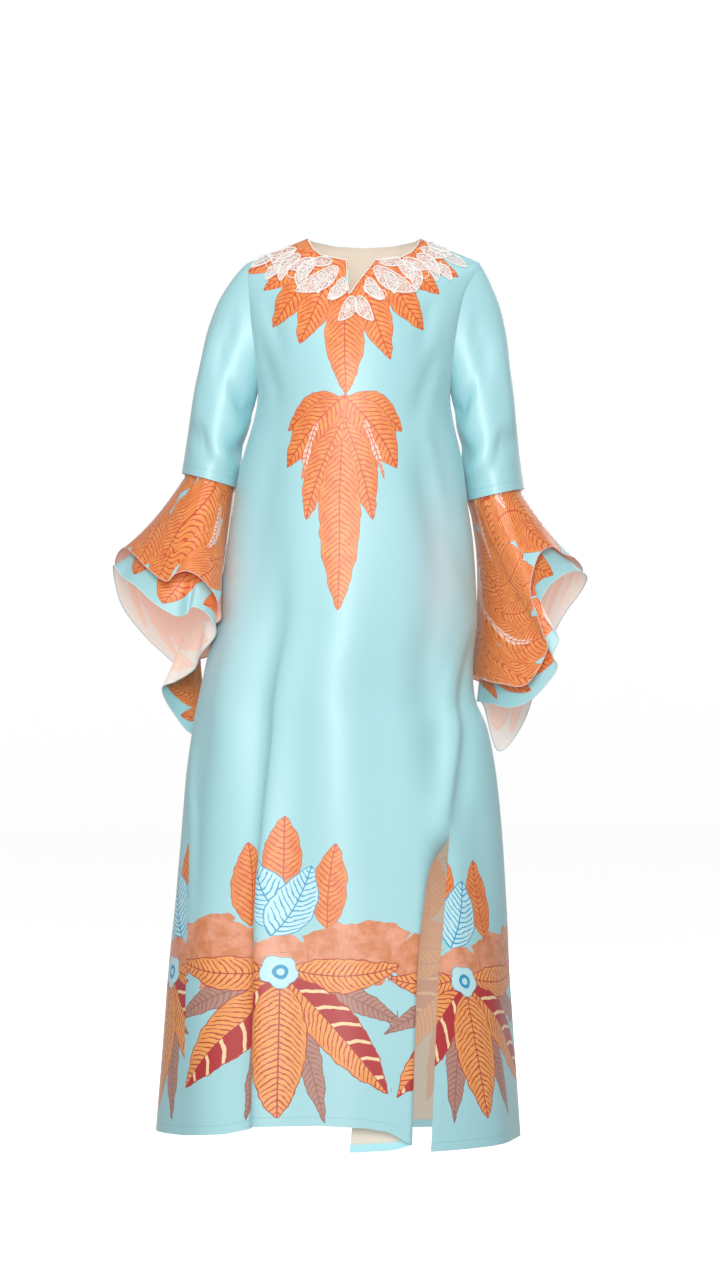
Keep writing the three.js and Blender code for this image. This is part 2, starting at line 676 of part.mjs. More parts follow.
// The lace lies on the front's own facets, moved out, and its lower edge is scalloped.
function neckLace(frontGrid) {
  const first = laceDepths[0].column;
  const columns = (laceDepths[laceDepths.length - 1].column - first) * 2;
  const rows = laceRows;
  const laceNormals = [];
  const pointAt = (i, j) => {
    const column = first + i / 2;
    const low = Math.floor(column);
    const high = Math.min(low + 1, frontColumns.slit);
    const between = column - low;
    const depth = readLinear(laceDepths, 'column', 'depth', column);
    const top = readLinear(frontTop, 'column', 'z', column);
    const row = (laceInset + (depth * j) / rows) / (top - underarmZ) * upperRows;
    const step = Math.floor(row);
    const lower = Math.min(between, row - step);
    const upper = Math.max(between, row - step);
    const mix = (layer) => {
      const corner = row - step > between ? layer[low][step + 1] : layer[high][step];
      const point = layer[low][step].clone().multiplyScalar(1 - upper);
      return point.addScaledVector(corner, upper - lower).addScaledVector(layer[high][step + 1], lower);
    };
    const normal = mix(frontGrid.normals).normalize();
    laceNormals.push(normal);
    return mix(frontGrid.points).addScaledVector(normal, laceLift + laceWall);
  };
  const grid = makeGrid(columns, rows, pointAt, false, 1);
  grid.normals = grid.points.map((line, i) => line.map((point, j) => laceNormals[i * (rows + 1) + j]));
  return wallMesh('neck_lace', grid, laceWall, laceLook);
}

const kaftan = new THREE.Group();
const front = frontPanel();
kaftan.add(front.mesh, backPanel());
for (const side of ['right', 'left']) {
  kaftan.add(sleeve(side), flounce(side, 'upper', 0), flounce(side, 'lower', 1));
}
kaftan.add(neckLace(front.grid));

export default kaftan;
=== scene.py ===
import math
import bpy
import numpy as np
from mathutils.bvhtree import BVHTree
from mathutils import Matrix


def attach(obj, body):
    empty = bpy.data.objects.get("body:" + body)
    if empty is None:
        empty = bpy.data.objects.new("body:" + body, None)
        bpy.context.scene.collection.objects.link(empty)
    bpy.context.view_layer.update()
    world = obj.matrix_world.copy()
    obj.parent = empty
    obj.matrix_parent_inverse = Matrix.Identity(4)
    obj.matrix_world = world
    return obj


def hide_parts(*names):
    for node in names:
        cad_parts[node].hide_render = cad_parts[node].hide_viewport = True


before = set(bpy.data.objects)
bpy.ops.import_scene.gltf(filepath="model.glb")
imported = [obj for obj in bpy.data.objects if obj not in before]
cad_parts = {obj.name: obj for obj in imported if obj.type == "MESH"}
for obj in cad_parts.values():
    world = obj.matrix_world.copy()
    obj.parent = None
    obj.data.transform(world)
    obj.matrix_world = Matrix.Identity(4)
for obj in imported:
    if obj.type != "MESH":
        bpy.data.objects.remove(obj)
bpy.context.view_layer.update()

scene = bpy.context.scene
mm = 0.001

# Camera and light

view = {"distance": 6.0, "aimX": -0.006, "aimZ": -0.623, "lens": 108.9, "sensor": 36.0}
studio = {
    "floorZ": -1.515, "radius": 14.0, "bend": 2.5, "height": 12.0, "sides": 72,
    "world": "#FFFFFF", "worldPower": 0.36, "backdropGlow": 0.66, "warmWhite": "#FFFDFA",
    "keyPower": 174.0, "fillPower": 12.0, "leftFillPower": 9.0, "backPower": 84.0, "rimPower": 14.0,
    "topPower": 18.0,
}


def linear(hexColour, alpha=1.0):
    # sRGB hex to linear light
    parts = [int(hexColour[i:i + 2], 16) / 255 for i in (1, 3, 5)]
    return tuple(c / 12.92 if c <= 0.04045 else ((c + 0.055) / 1.055) ** 2.4 for c in parts) + (alpha,)


def makeCamera():
    # a level camera straight in front, at the photo's angle
    lens = bpy.data.cameras.new("camera")
    lens.lens = view["lens"]
    lens.sensor_width = view["sensor"]
    lens.sensor_fit = "AUTO"
    lens.clip_end = 50
    camera = bpy.data.objects.new("camera", lens)
    camera.location = (view["aimX"], -view["distance"], view["aimZ"])
    camera.rotation_euler = (math.radians(90), 0, 0)
    scene.collection.objects.link(camera)
    scene.camera = camera


def areaLight(name, place, aim, size, power, colour="#FFFFFF"):
    # a lamp turned so that its face looks from its place to the aim
    lamp = bpy.data.lights.new(name, "AREA")
    lamp.shape = "RECTANGLE"
    lamp.size, lamp.size_y = size
    lamp.energy = power
    lamp.color = linear(colour)[:3]
    holder = bpy.data.objects.new(name, lamp)
    holder.location = place
    way = np.array(aim) - np.array(place)
    flat = math.hypot(way[0], way[1])
    holder.rotation_euler = (math.atan2(flat, -way[2]), 0, math.atan2(way[1], way[0]) - math.pi / 2)
    scene.collection.objects.link(holder)


makeCamera()
lookAt = (0, 0, -0.6)  # about the middle of the dress
areaLight("key", (-0.25, -4.8, 0.8), lookAt, (1.4, 2.4), studio["keyPower"], studio["warmWhite"])
areaLight("fill", (2.2, -4.0, -0.4), (0, 0, -0.8), (1.8, 2.4), studio["fillPower"])
areaLight("leftFill", (-2.8, -3.4, -0.4), (0, 0, -0.8), (1.8, 2.4), studio["leftFillPower"])
areaLight("backKey", (0.7, 4.8, 0.7), lookAt, (1.8, 2.4), studio["backPower"])
areaLight("rim", (1.6, 2.6, 0.8), lookAt, (2.0, 2.0), studio["rimPower"])
areaLight("top", (0, -0.6, 2.2), lookAt, (2.4, 2.4), studio["topPower"])
world = bpy.data.worlds.new("paleRoom")
scene.world = world
world.use_nodes = True
world.node_tree.nodes["Background"].inputs[0].default_value = linear(studio["world"])
world.node_tree.nodes["Background"].inputs[1].default_value = studio["worldPower"]
scene.view_settings.view_transform = "Standard"
print("camera and lights made")

# Sizes of the dress in millimetres, as in the part's source


def table(columns, *rows):
    values = np.array(rows, float)
    return {name: values[:, i] for i, name in enumerate(columns.split())}


dress = {
    "clothWall": 1.5, "seamGap": 0.3, "flounceGap": 0.8, "flounceEase": 2.2, "flounceDrop": 6,
    "tipX": 179, "tipZ": -38, "underarmZ": -240, "armholeFront": 40, "armholeBack": 46,
    "shoulderRound": 75, "slitTopZ": -900, "slitBlend": 50, "upperRows": 9, "lowerRows": 19,
    "backColumns": 24, "cloth": 0.6, "turnedHem": 12, "hemExtra": 0.8,
}

bodySections = table(
    "z halfWidth centreX sideY frontY backY",
    (10, 179, 0, 5, -50, 58), (-38, 179, 0, 4, -62, 76), (-83, 167, -10, 3, -84, 90),
    (-126, 160, -14, 3, -103, 97), (-181, 153, -15, 3, -121, 99), (-240, 149, -15, 3, -130, 98),
    (-279, 153.5, -16, -6, -133, 96), (-355, 172, -18.5, -16, -133, 94), (-415, 181, -20.5, -22, -133, 96),
    (-476, 190, -21, -25, -134, 100), (-589, 201.5, -27, -28, -138, 112), (-660, 205, -38.5, -28, -143, 121),
    (-715, 212, -43, -28, -147, 128), (-760, 225, -38.5, -27, -152, 134), (-842, 238, -36.5, -26, -160, 145),
    (-1026, 254.5, -34.5, -22, -178, 165), (-1150, 265.5, -36.5, -16, -190, 180), (-1410, 285.5, -38.5, -8, -210, 200),
)

bodyLines = table(
    "z rightSeam foldA foldB leftSeam sideValley",
    (-240, -90, -36, 35, 90, 42), (-408, -93, -33, 31, 88, 50), (-590, -93, -29, 29, 76, 80),
    (-716, -91, -29, 28.5, 62, 84), (-842, -80, -29.5, 27.5, 48, 84), (-905, -71, -30, 27, 43, 84),
    (-1026, -65, -31, 26, 38, 84), (-1150, -61, -29.5, 24, 34, 84), (-1410, -55, -27.5, 21, 29, 84),
)

# line or angle, offset, width, raise, step, pull, from, full, end
bodyFolds = [
    ("foldA", 0, 30, 0, 11, 24, -330, -950, -2000),
    ("foldA", -80, 34, 7, 0, 0, -560, -1100, -2000),
    ("foldB", 44, 30, -13, 0, 0, -330, -640, -900),
    ("foldB", -95, 45, 4, 0, 0, -420, -1000, -2000),
    ("leftSeam", 0, 22, 0, -7, 8, -560, -760, -960),
    ("sideValley", 0, 30, -6, 0, 0, -290, -400, -600),
    (78, 0, 46, -9, 0, 0, -820, -1250, -2000),
    (128, 0, 48, 12, 0, 0, -420, -1100, -2000),
    (156, 0, 42, -13, 0, 0, -330, -900, -2000),
    (186, 0, 50, 10, 0, 0, -420, -1200, -2000),
    (214, 0, 34, 0, 10, 14, -380, -1000, -2000),
    (246, 0, 46, 11, 0, 0, -560, -1200, -2000),
]

slitRoll = table(
    "z width turn roll",
    (-900, 62, 0, 60), (-925, 64, 22, 58), (-955, 67, 55, 52), (-1000, 74, 100, 42),
    (-1060, 81, 138, 30), (-1130, 88, 154, 26), (-1250, 98, 160, 24), (-1410, 110, 164, 24),
)

frontStops = (0, 8, 23, 31)
frontTop = table(
    "column x y z",
    (0, -179, 4, -38), (9, -87, 6, 0), (10, -80, -20, -18), (11, -66, -42, -30), (12, -46, -55, -35),
    (13, -26, -61, -39), (14, -19, -76, -66), (15, -11, -89, -93), (16, 3, -76, -66), (17, 16, -61, -39),
    (18, 37, -58, -38), (19, 56, -49, -34), (20, 72, -34, -25), (21, 83, -14, -12), (22, 87, 6, 0),
    (31, 179, 4, -38),
)
frontHem = table(
    "column z", (0, -1375), (5, -1368), (8, -1354), (15, -1350), (19, -1354), (21, -1360), (22, -1368),
    (23, -1377), (26, -1390), (31, -1393),
)
backTop = table(
    "column x y z",
    (0, 179, 4, -38), (7, 87, 6, 0), (8, 79, 30, -3), (10, 45, 52, -8), (12, 0, 60, -10),
    (14, -45, 52, -8), (16, -79, 30, -3), (17, -87, 6, 0), (24, -179, 4, -38),
)
backHem = table("column z", (0, -1392), (5, -1390), (12, -1400), (19, -1384), (24, -1375))

sleeveHems = {
    "right": {
        "sign": -1, "x": -239, "y": 18, "z": -376, "halfX": 44, "halfY": 72, "lift": 12, "leaveMid": 0.55,
        "leaveSwing": 0.3,
    },
    "left": {
        "sign": 1, "x": 204, "y": 22, "z": -398, "halfX": 46, "halfY": 73, "lift": 10, "leaveMid": 0.35,
        "leaveSwing": 0.1,
    },
}
sleeveAround = 2 * dress["upperRows"]

flounceHems = {
    "upper_right": table(
        "x y z",
        (-372, 5, -480), (-352, -44, -493), (-330, -80, -514), (-302, -112, -533), (-287, -112, -522),
        (-268, -118, -518), (-246, -114, -530), (-226, -102, -556), (-218, -86, -588), (-232, -52, -602),
        (-236, -10, -610), (-232, 36, -622), (-236, 84, -642), (-262, 132, -652), (-300, 160, -636),
        (-330, 146, -612), (-356, 124, -580), (-384, 98, -544), (-388, 50, -500),
    ),
    "lower_right": table(
        "x y z",
        (-389, 10, -509), (-372, -34, -526), (-350, -64, -540), (-318, -92, -568), (-286, -98, -586),
        (-270, -86, -582), (-262, -92, -572), (-240, -90, -582), (-226, -78, -612), (-250, -48, -644),
        (-262, -6, -668), (-292, 30, -687), (-315, 52, -699), (-300, 78, -735), (-268, 96, -770),
        (-252, 116, -716), (-296, 136, -664), (-344, 116, -618), (-380, 68, -566),
    ),
    "upper_left": table(
        "x y z",
        (328, 12, -497), (308, -16, -490), (290, -40, -479), (270, -62, -490), (258, -78, -520),
        (254, -90, -552), (264, -100, -584), (272, -106, -612), (278, -106, -640), (248, -98, -690),
        (212, -72, -690), (184, -26, -684), (166, 30, -676), (171, 86, -684), (206, 132, -690),
        (246, 152, -664), (282, 140, -618), (318, 118, -568), (342, 64, -520),
    ),
    "lower_left": table(
        "x y z",
        (346, 14, -524), (326, -12, -516), (302, -34, -526), (280, -54, -546), (270, -70, -572),
        (284, -84, -598), (297, -88, -622), (288, -90, -646), (294, -90, -668), (258, -80, -712),
        (226, -58, -726), (196, -18, -721), (176, 28, -718), (188, 70, -726), (212, 92, -797),
        (254, 114, -748), (284, 122, -650), (312, 100, -588), (340, 58, -546),
    ),
}

# Surfaces: each function gives the cloth's outer points for whole arrays of parameters


def lerp(a, b, t):
    return a + (b - a) * t


def smooth(t):
    # 0 below 0, 1 above 1, an even s-curve between
    t = np.clip(t, 0, 1)
    return t * t * (3 - 2 * t)


def unit(vectors):
    return vectors / np.linalg.norm(vectors, axis=-1, keepdims=True)


def readLinear(rows, column, at):
    return np.interp(at, rows["column"], rows[column])


def readSmooth(rows, column, z):
    # a cubic through the table's rows, whose slope at a row is that between its neighbours
    zs, v = rows["z"], rows[column]
    z = np.asarray(z, float)
    count = np.arange(len(zs))
    lo, hi = np.maximum(count - 1, 0), np.minimum(count + 1, len(zs) - 1)
    slope = (v[hi] - v[lo]) / (zs[hi] - zs[lo])
    i = np.clip(np.searchsorted(-zs, -z, side="right") - 1, 0, len(zs) - 2)
    span = zs[i + 1] - zs[i]
    t = np.clip((z - zs[i]) / span, 0, 1)
    start = (1 + 2 * t) * (1 - t) ** 2 * v[i] + t * (1 - t) ** 2 * span * slope[i]
    return start + t * t * (3 - 2 * t) * v[i + 1] + t * t * (t - 1) * span * slope[i + 1]


def sectionAt(z):
    # the body's section at height z; the armhole pulls its sides in along half an oval
    middle, half = (dress["tipZ"] + dress["underarmZ"]) / 2, (dress["tipZ"] - dress["underarmZ"]) / 2
    arch = np.sqrt(np.maximum(0, 1 - ((z - middle) / half) ** 2))
    side = readSmooth(bodySections, "sideY", z)
    section = {name: readSmooth(bodySections, name, z) for name in ("halfWidth", "centreX", "frontY", "backY")}
    section["sideFront"] = side - dress["armholeFront"] * arch
    section["sideBack"] = side + dress["armholeBack"] * arch
    section["flatness"] = lerp(1, 1.8, smooth((z - dress["underarmZ"]) / (2 * half)))
    return section


def depthAt(section, part, isFront):
    # from the side's depth to the middle's along an oval, flatter at the chest
    bulge = np.sqrt(np.maximum(0, 1 - part * part)) ** section["flatness"]
    front = lerp(section["sideFront"], section["frontY"], bulge)
    return np.where(isFront, front, lerp(section["sideBack"], section["backY"], bulge))


def bodyPoint(angle, z, folded=True):
    # an oval section at height z, with each fold's raise, step and pull added where it passes
    section = sectionAt(z)
    sin, cos = np.sin(np.radians(angle)), np.cos(np.radians(angle))
    isFront = cos >= 0
    depth = np.where(isFront, section["sideFront"] - section["frontY"], section["backY"] - section["sideBack"])
    norm = np.hypot(sin * depth, cos * section["halfWidth"])
    outX, outY = sin * depth / norm, -cos * section["halfWidth"] / norm
    out, slide = np.zeros_like(sin), np.zeros_like(sin)
    for line, offset, width, lift, step, pull, start, full, end in bodyFolds if folded else []:
        foldAngle = readSmooth(bodyLines, line, z) if isinstance(line, str) else line
        turn = (angle - foldAngle + 540) % 360 - 180
        radius = np.hypot(section["halfWidth"] * cos, depth * sin)
        q = (np.radians(turn) * radius - offset) / width
        bump = np.exp(-q * q) * smooth((start - z) / (start - full)) * smooth((z - end) / 120)
        out = out + lift * bump + step * 2 * q * bump
        slide = slide - pull * q * bump
    x = section["centreX"] + section["halfWidth"] * sin + outX * out - outY * slide
    y = depthAt(section, sin, isFront) + outY * out + outX * slide
    return np.stack([x, y, z + 0 * x], -1)


def seamAngle(z):
    # half the seam's gap, as an angle of the section
    return np.degrees(dress["seamGap"] / 2 / readSmooth(bodySections, "halfWidth", z))


def frontAngle(column, z):
    # evenly spaced between the seams and the two folds, whose angles change with height
    lines = [readSmooth(bodyLines, name, z) for name in ("rightSeam", "foldA", "foldB", "leftSeam")]
    lines[0] = lines[0] + seamAngle(z)
    lines[3] = lines[3] - seamAngle(z)
    angle = lines[0]
    for i in range(3):
        share = np.clip((column - frontStops[i]) / (frontStops[i + 1] - frontStops[i]), 0, 1)
        angle = angle + share * (lines[i + 1] - lines[i])
    return angle


def backAngle(column, z):
    # evenly spaced from one side seam round the back to the other
    start = readSmooth(bodyLines, "leftSeam", z) + seamAngle(z)
    end = 360 + readSmooth(bodyLines, "rightSeam", z) - seamAngle(z)
    return lerp(start, end, column / dress["backColumns"])


def upperPoint(topRows, column, columns, row, baseAngle, isFront):
    # from the top edge to the underarm: the width share eases from the edge's to the section's,
    # and the depth leaves the shoulder seam on a quarter round
    topX, topZ = readLinear(topRows, "x", column), readLinear(topRows, "z", column)
    topY = readLinear(topRows, "y", column) + (-0.5 if isFront else 0.5) * dress["seamGap"]
    edge = np.abs(2 * column / columns - 1) ** 4
    t = np.clip(row / dress["upperRows"], 0, 1)
    fall = lerp(t, (1 - np.cos(np.pi * t)) / 2, edge)
    z = lerp(topZ, dress["underarmZ"], fall)
    part = lerp(topX / dress["tipX"], np.sin(np.radians(baseAngle)), fall)
    section = sectionAt(z)
    roundT = np.clip((topZ - z) / lerp(dress["shoulderRound"], 1, edge), 0, 1)
    y = lerp(topY, depthAt(section, part, isFront), np.sqrt(1 - (1 - roundT) ** 2))
    return np.stack([section["centreX"] + section["halfWidth"] * part, y, z], -1)


def slitPoint(column, z):
    # the strip beside the slit leaves fold B along the cloth and its heading turns in as it goes
    share = np.clip((column - frontStops[2]) / (frontStops[3] - frontStops[2]), 0, 1)
    width, roll = readSmooth(slitRoll, "width", z), readSmooth(slitRoll, "roll", z)
    turn = np.radians(readSmooth(slitRoll, "turn", z))
    start, end = frontAngle(frontStops[2], z), frontAngle(frontStops[3], z)
    point, before = bodyPoint(start, z), bodyPoint(start - 0.5, z)
    heading = np.arctan2(point[..., 1] - before[..., 1], point[..., 0] - before[..., 0])
    steps = 40
    for i in range(steps):
        s = (i + 0.5) / steps * share * width
        angle = heading + np.radians(end - start) * s / width + turn * smooth(s / roll)
        point[..., 0] += np.cos(angle) * share * width / steps
        point[..., 1] += np.sin(angle) * share * width / steps
    return point


def frontPoint(column, row, folded=True):
    # the upper part down to the underarm, then the folded body, and the slit's strip from its top down
    base = np.clip(frontAngle(column, np.full_like(column, dress["underarmZ"])), -90, 90)
    upper = upperPoint(frontTop, column, frontStops[3], row, base, True)
    t = np.maximum(0, (row - dress["upperRows"]) / dress["lowerRows"])
    z = lerp(dress["underarmZ"], readLinear(frontHem, "z", column), t)
    lower = bodyPoint(frontAngle(column, z), z, folded)
    if folded:
        blend = smooth((dress["slitTopZ"] - z) / dress["slitBlend"]) * (column > frontStops[2])
        lower = lerp(lower, slitPoint(column, z), blend[..., None])
    return np.where((row <= dress["upperRows"])[..., None], upper, lower)


def backPoint(column, row, folded=True):
    # the upper part down to the underarm, and the folded body below it
    base = backAngle(column, np.full_like(column, dress["underarmZ"]))
    upper = upperPoint(backTop, column, dress["backColumns"], row, base, False)
    t = np.maximum(0, (row - dress["upperRows"]) / dress["lowerRows"])
    z = lerp(dress["underarmZ"], readLinear(backHem, "z", column), t)
    return np.where((row <= dress["upperRows"])[..., None], upper, bodyPoint(backAngle(column, z), z, folded))


def sleevePoint(hem, angle, t):
    # a cubic curve from the armhole's point to the hem's, leaving outwards and arriving downwards
    sign, cos, sin = hem["sign"], np.cos(angle), np.sin(angle)
    z = lerp(dress["underarmZ"], dress["tipZ"], (1 + cos) / 2)
    section = sectionAt(z)
    y = np.where(sin >= 0, section["sideFront"], section["sideBack"])
    start = np.stack([section["centreX"] + sign * (section["halfWidth"] + dress["seamGap"]), y, z], -1)
    hemX, hemY = hem["x"] + sign * hem["halfX"] * cos, hem["y"] - hem["halfY"] * sin
    end = np.stack([hemX, hemY, hem["z"] + hem["lift"] * cos], -1)
    length = np.linalg.norm(end - start, axis=-1, keepdims=True)
    leave = np.stack([sign * (hem["leaveMid"] + hem["leaveSwing"] * cos), 0.04 + 0 * cos, -0.85 + 0.2 * cos], -1)
    arrive = unit(np.array([sign * 0.16, -0.03, -0.98]))
    a, b = start + unit(leave) * length * 0.25, end - arrive * length * 0.33
    t = t[..., None]
    return start * (1 - t) ** 3 + 3 * a * t * (1 - t) ** 2 + 3 * b * t * t * (1 - t) + end * t ** 3


def sleeveInside(hem, share, t, inset):
    # on the straight sides between the sleeve solid's corners, so that it stays clear of them
    place = share * sleeveAround
    low = np.floor(place)

    def corner(k):
        angle = k / sleeveAround * 2 * np.pi
        inward = np.stack([-hem["sign"] * np.cos(angle) * hem["halfY"], np.sin(angle) * hem["halfX"], 0 * angle], -1)
        return sleevePoint(hem, angle, np.full_like(angle, t)) + unit(inward) * inset

    return lerp(corner(low), corner(low + 1), (place - low)[..., None])


def hemCurve(rows, share):
    # a closed cubic through the hem's rows
    points = np.stack([rows["x"], rows["y"], rows["z"]], -1)
    count = len(points)
    place = (share % 1) * count
    i = np.floor(place).astype(int)
    t = (place - i)[..., None]
    a, b, c, d = (points[(i + k) % count] for k in (-1, 0, 1, 2))
    rise = (1 + 2 * t) * (1 - t) ** 2 * b + t * (1 - t) ** 2 * (c - a) / 2
    return rise + t * t * (3 - 2 * t) * c + t * t * (t - 1) * (d - b) / 2


def flouncePoint(hem, rows, tier, share, s):
    # s runs from -0.2 at the stitching through 0 at the sleeve's hem to 1; the waves grow with s
    inset = (1 + tier) * (dress["clothWall"] + dress["flounceGap"])
    seam = sleeveInside(hem, share, 0.965, inset)
    neck = sleeveInside(hem, share, 1.0, inset + dress["flounceEase"] * (1 + tier))
    neck[..., 2] -= dress["flounceDrop"] + 2 * tier
    plain = sum(hemCurve(rows, share + shift) for shift in (-0.1, -0.05, 0, 0.05, 0.1)) / 5
    t = np.maximum(s, 0)[..., None]
    below = lerp(neck, lerp(plain, hemCurve(rows, share), t ** 1.3), t)
    return np.where((s < 0)[..., None], lerp(neck, seam, np.clip(-s / 0.2, 0, 1)[..., None]), below)


# Meshes


def gridNormals(points, closed, outwardSign):
    # the cross product of the directions down and across the grid
    if closed:
        across = np.roll(points, -1, 0) - np.roll(points, 1, 0)
    else:
        across = np.gradient(points, axis=0)
    normals = np.cross(np.gradient(points, axis=1), across) * outwardSign
    return normals / np.maximum(np.linalg.norm(normals, axis=-1, keepdims=True), 1e-9)


def buildMesh(name, vertices, faces, materials, materialIndex=None, attributes=None, sharp=50):
    mesh = bpy.data.meshes.new(name)
    mesh.vertices.add(len(vertices))
    mesh.vertices.foreach_set("co", (np.asarray(vertices) * mm).astype(np.float32).ravel())
    faces = np.asarray(faces, np.int32)
    mesh.loops.add(faces.size)
    mesh.loops.foreach_set("vertex_index", faces.ravel())
    mesh.polygons.add(len(faces))
    mesh.polygons.foreach_set("loop_start", np.arange(0, faces.size, faces.shape[1], dtype=np.int32))
    mesh.polygons.foreach_set("loop_total", np.full(len(faces), faces.shape[1], np.int32))
    mesh.polygons.foreach_set("use_smooth", np.ones(len(faces), bool))
    if materialIndex is not None:
        mesh.polygons.foreach_set("material_index", np.asarray(materialIndex, np.int32))
    mesh.update(calc_edges=True)
    mesh.set_sharp_from_angle(angle=math.radians(sharp))
    for key, values in (attributes or {}).items():
        layer = mesh.attributes.new(key, "FLOAT_COLOR", "POINT")
        layer.data.foreach_set("color", np.asarray(values, np.float32).ravel())
    for material in materials:
        mesh.materials.append(material)
    piece = bpy.data.objects.new(name, mesh)
    scene.collection.objects.link(piece)
    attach(piece, "root")
    return piece


def quads(a, b, c, d, flip=False):
    return np.stack([a, d, c, b] if flip else [a, b, c, d], -1).reshape(-1, 4)


def gridQuads(index, flip=False, more=0):
    # the faces of a grid of vertex numbers, with more added to each
    corners = (index[:-1, :-1], index[:-1, 1:], index[1:, 1:], index[1:, :-1])
    return quads(*corners, flip) + more


def rimQuads(line, more, flip):
    # the faces between a line of outer vertices and the inner ones behind it
    return quads(line[:-1], line[1:], line[1:] + more, line[:-1] + more, flip)


def clothShell(name, points, normals, thickness, closed, flip, materials, attributes):
    # a thin shell: outer points, the same points moved in by the thickness, and closed borders
    across, down = points.shape[:2]
    inner = points - normals * thickness[..., None]
    vertices = np.concatenate([points.reshape(-1, 3), inner.reshape(-1, 3)])
    index = np.arange(across * down).reshape(across, down)
    if closed:
        index = np.concatenate([index, index[:1]])
    more = across * down
    outerFaces, innerFaces = gridQuads(index, flip), gridQuads(index, not flip, more)
    borders = [rimQuads(index[:, 0], more, flip), rimQuads(index[:, -1], more, not flip)]
    if not closed:
        borders += [rimQuads(index[0], more, not flip), rimQuads(index[-1], more, flip)]
    border = np.concatenate(borders)
    which = np.concatenate([np.zeros(len(outerFaces)), np.ones(len(innerFaces)), np.zeros(len(border))])
    doubled = {key: np.concatenate([v.reshape(-1, 4)] * 2) for key, v in attributes.items()}
    faces = np.concatenate([outerFaces, innerFaces, border])
    return buildMesh(name, vertices, faces, materials, which, doubled)


def tubeAlong(path, radius, sides, closed=True):
    # circles of the given radius across a path, square to its direction at each point
    if closed:
        way = np.roll(path, -1, 0) - np.roll(path, 1, 0)
    else:
        way = np.gradient(path, axis=0)
    way = unit(way)
    helper = np.where(np.abs(way[:, 2:3]) < 0.8, [[0.0, 0.0, 1.0]], [[1.0, 0.0, 0.0]])
    first = unit(np.cross(way, helper))
    second = np.cross(way, first)
    turn = np.arange(sides) / sides * 2 * np.pi
    ring = np.cos(turn)[None, :, None] * first[:, None] + np.sin(turn)[None, :, None] * second[:, None]
    return path[:, None] + ring * np.asarray(radius).reshape(-1, 1, 1)


def tubeFaces(count, sides, closed, first=0):
    # the faces round a tube of count circles, whose vertices start at first
    index = first + np.arange(count * sides).reshape(count, sides)
    ahead = np.roll(index, -1, 0) if closed else index[1:]
    here = index if closed else index[:-1]
    return quads(here, ahead, np.roll(ahead, -1, 1), np.roll(here, -1, 1))


def mergedTubes(name, tubes, sides, material):
    # tubes: paths with their radius, and whether each path is closed
    vertices, faces, first = [], [], 0
    for path, radius, closed in tubes:
        ring = tubeAlong(path, radius, sides, closed)
        vertices.append(ring.reshape(-1, 3))
        faces.append(tubeFaces(len(path), sides, closed, first))
        first += ring.shape[0] * sides
    return buildMesh(name, np.concatenate(vertices), np.concatenate(faces), [material])


def beadCloud(name, centres, radius, material):
    # small balls of five circles with eight corners, one ball at each centre
    rise = np.array([-0.94, -0.5, 0.0, 0.5, 0.94])[:, None]
    sides = 8
    turn = np.arange(sides) / sides * 2 * np.pi
    width = np.sqrt(1 - rise * rise)
    ball = np.stack([width * np.cos(turn), width * np.sin(turn), rise + 0 * turn], -1)
    vertices = (centres[:, None, None] + radius * ball[None]).reshape(-1, 3)
    first = np.arange(len(centres))[:, None, None] * len(rise) * sides
    faces = (tubeFaces(len(rise), sides, False)[None] + first).reshape(-1, 4)
    return buildMesh(name, vertices, faces, [material])


def areaOf(points, closed):
    # the sum of the grid's cells, each as the cross product of two of its sides
    if closed:
        points = np.concatenate([points, points[:1]])
    across, down = points[1:, :-1] - points[:-1, :-1], points[:-1, 1:] - points[:-1, :-1]
    return float(np.linalg.norm(np.cross(across, down), axis=-1).sum()) * mm * mm


def measureDown(points):
    # the length down each column of the cloth, and what is left from there to the hem
    length = np.linalg.norm(np.diff(points, axis=1), axis=-1)
    down = np.concatenate([np.zeros((len(points), 1)), np.cumsum(length, 1)], 1)
    return down, down[:, -1:] - down


def hemThickness(hemGap):
    # the cloth, thicker where the hem is turned up
    return dress["cloth"] + dress["hemExtra"] * smooth((dress["turnedHem"] + 0.8 - hemGap) / 1.6)


def hangCloth(name, node, slot, points, closed, outward, thickness, lining, fields, flat=None):
    # one sheet, its CAD part hidden; the flat size of its cut is reckoned and then not used: the flat area is that of
    # the cloth as it hangs, because satin doesn't stretch, and a circular cut with no size given lies in a square 1.2
    # times the area's side
    normals = gridNormals(points, closed, outward)
    piece = clothShell(name, points, normals, thickness, closed, outward < 0, [satin, lining], fields)
    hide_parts(node)
    area = areaOf(points, closed)
    flat = flat or (round(math.sqrt(area) * 1.2, 2),) * 2
    return normals


# Print: leaves laid out on the flat cloth. Each vertex keeps, for each of six layers, where it is
# in the nearest leaf: along it, across it, half the leaf's width there, and the leaf's kind.

printLayers = ("printGround", "printLeafA", "printLeafB", "printLeafC", "printLeafD", "printBloom")
leafKinds = {  # the fill by the midrib, the fill by the edge, the veins and the outline
    "leaf": ("#EC984B", "#E27634", "#CE4425", "#B4382A"),
    "broadLeaf": ("#F3A65D", "#EC984B", "#B4382A", "#B4382A"),
    "petal": ("#B9877A", "#B9877A", "#96685E", "#96685E"),
    "blueLeaf": ("#BFE9F1", "#BFE9F1", "#2299C6", "#2299C6"),
    "stripedLeaf": ("#F3A65D", "#EC984B", "#B4382A", "#B4382A"),
    "blossom": ("#BFE9F1", "#BFE9F1", "#2299C6", "#2299C6"),
    "mottled": ("#D27F4C", "#E8A084", "#C06B4C", "#D27F4C"),
    # the pink leaf: a lighter copy of the leaf's colours; on the flounces it is painted highlight, on the front spray
    # pink sections of the print
    "pinkLeaf": ("#F8D2C0", "#F8D2C0", "#D9714F", "#D9714F"),
}
kinds = list(leafKinds)
leafReach = 8.0  # a vertex further than this from every leaf of its layer holds none


def leafRow(layer, kind, x, z, tilt, length, width, bend=0.0):
    return {"layer": layer, "kind": kinds.index(kind), "x": x, "z": z, "tilt": tilt, "length": length,
            "width": width, "bend": bend}


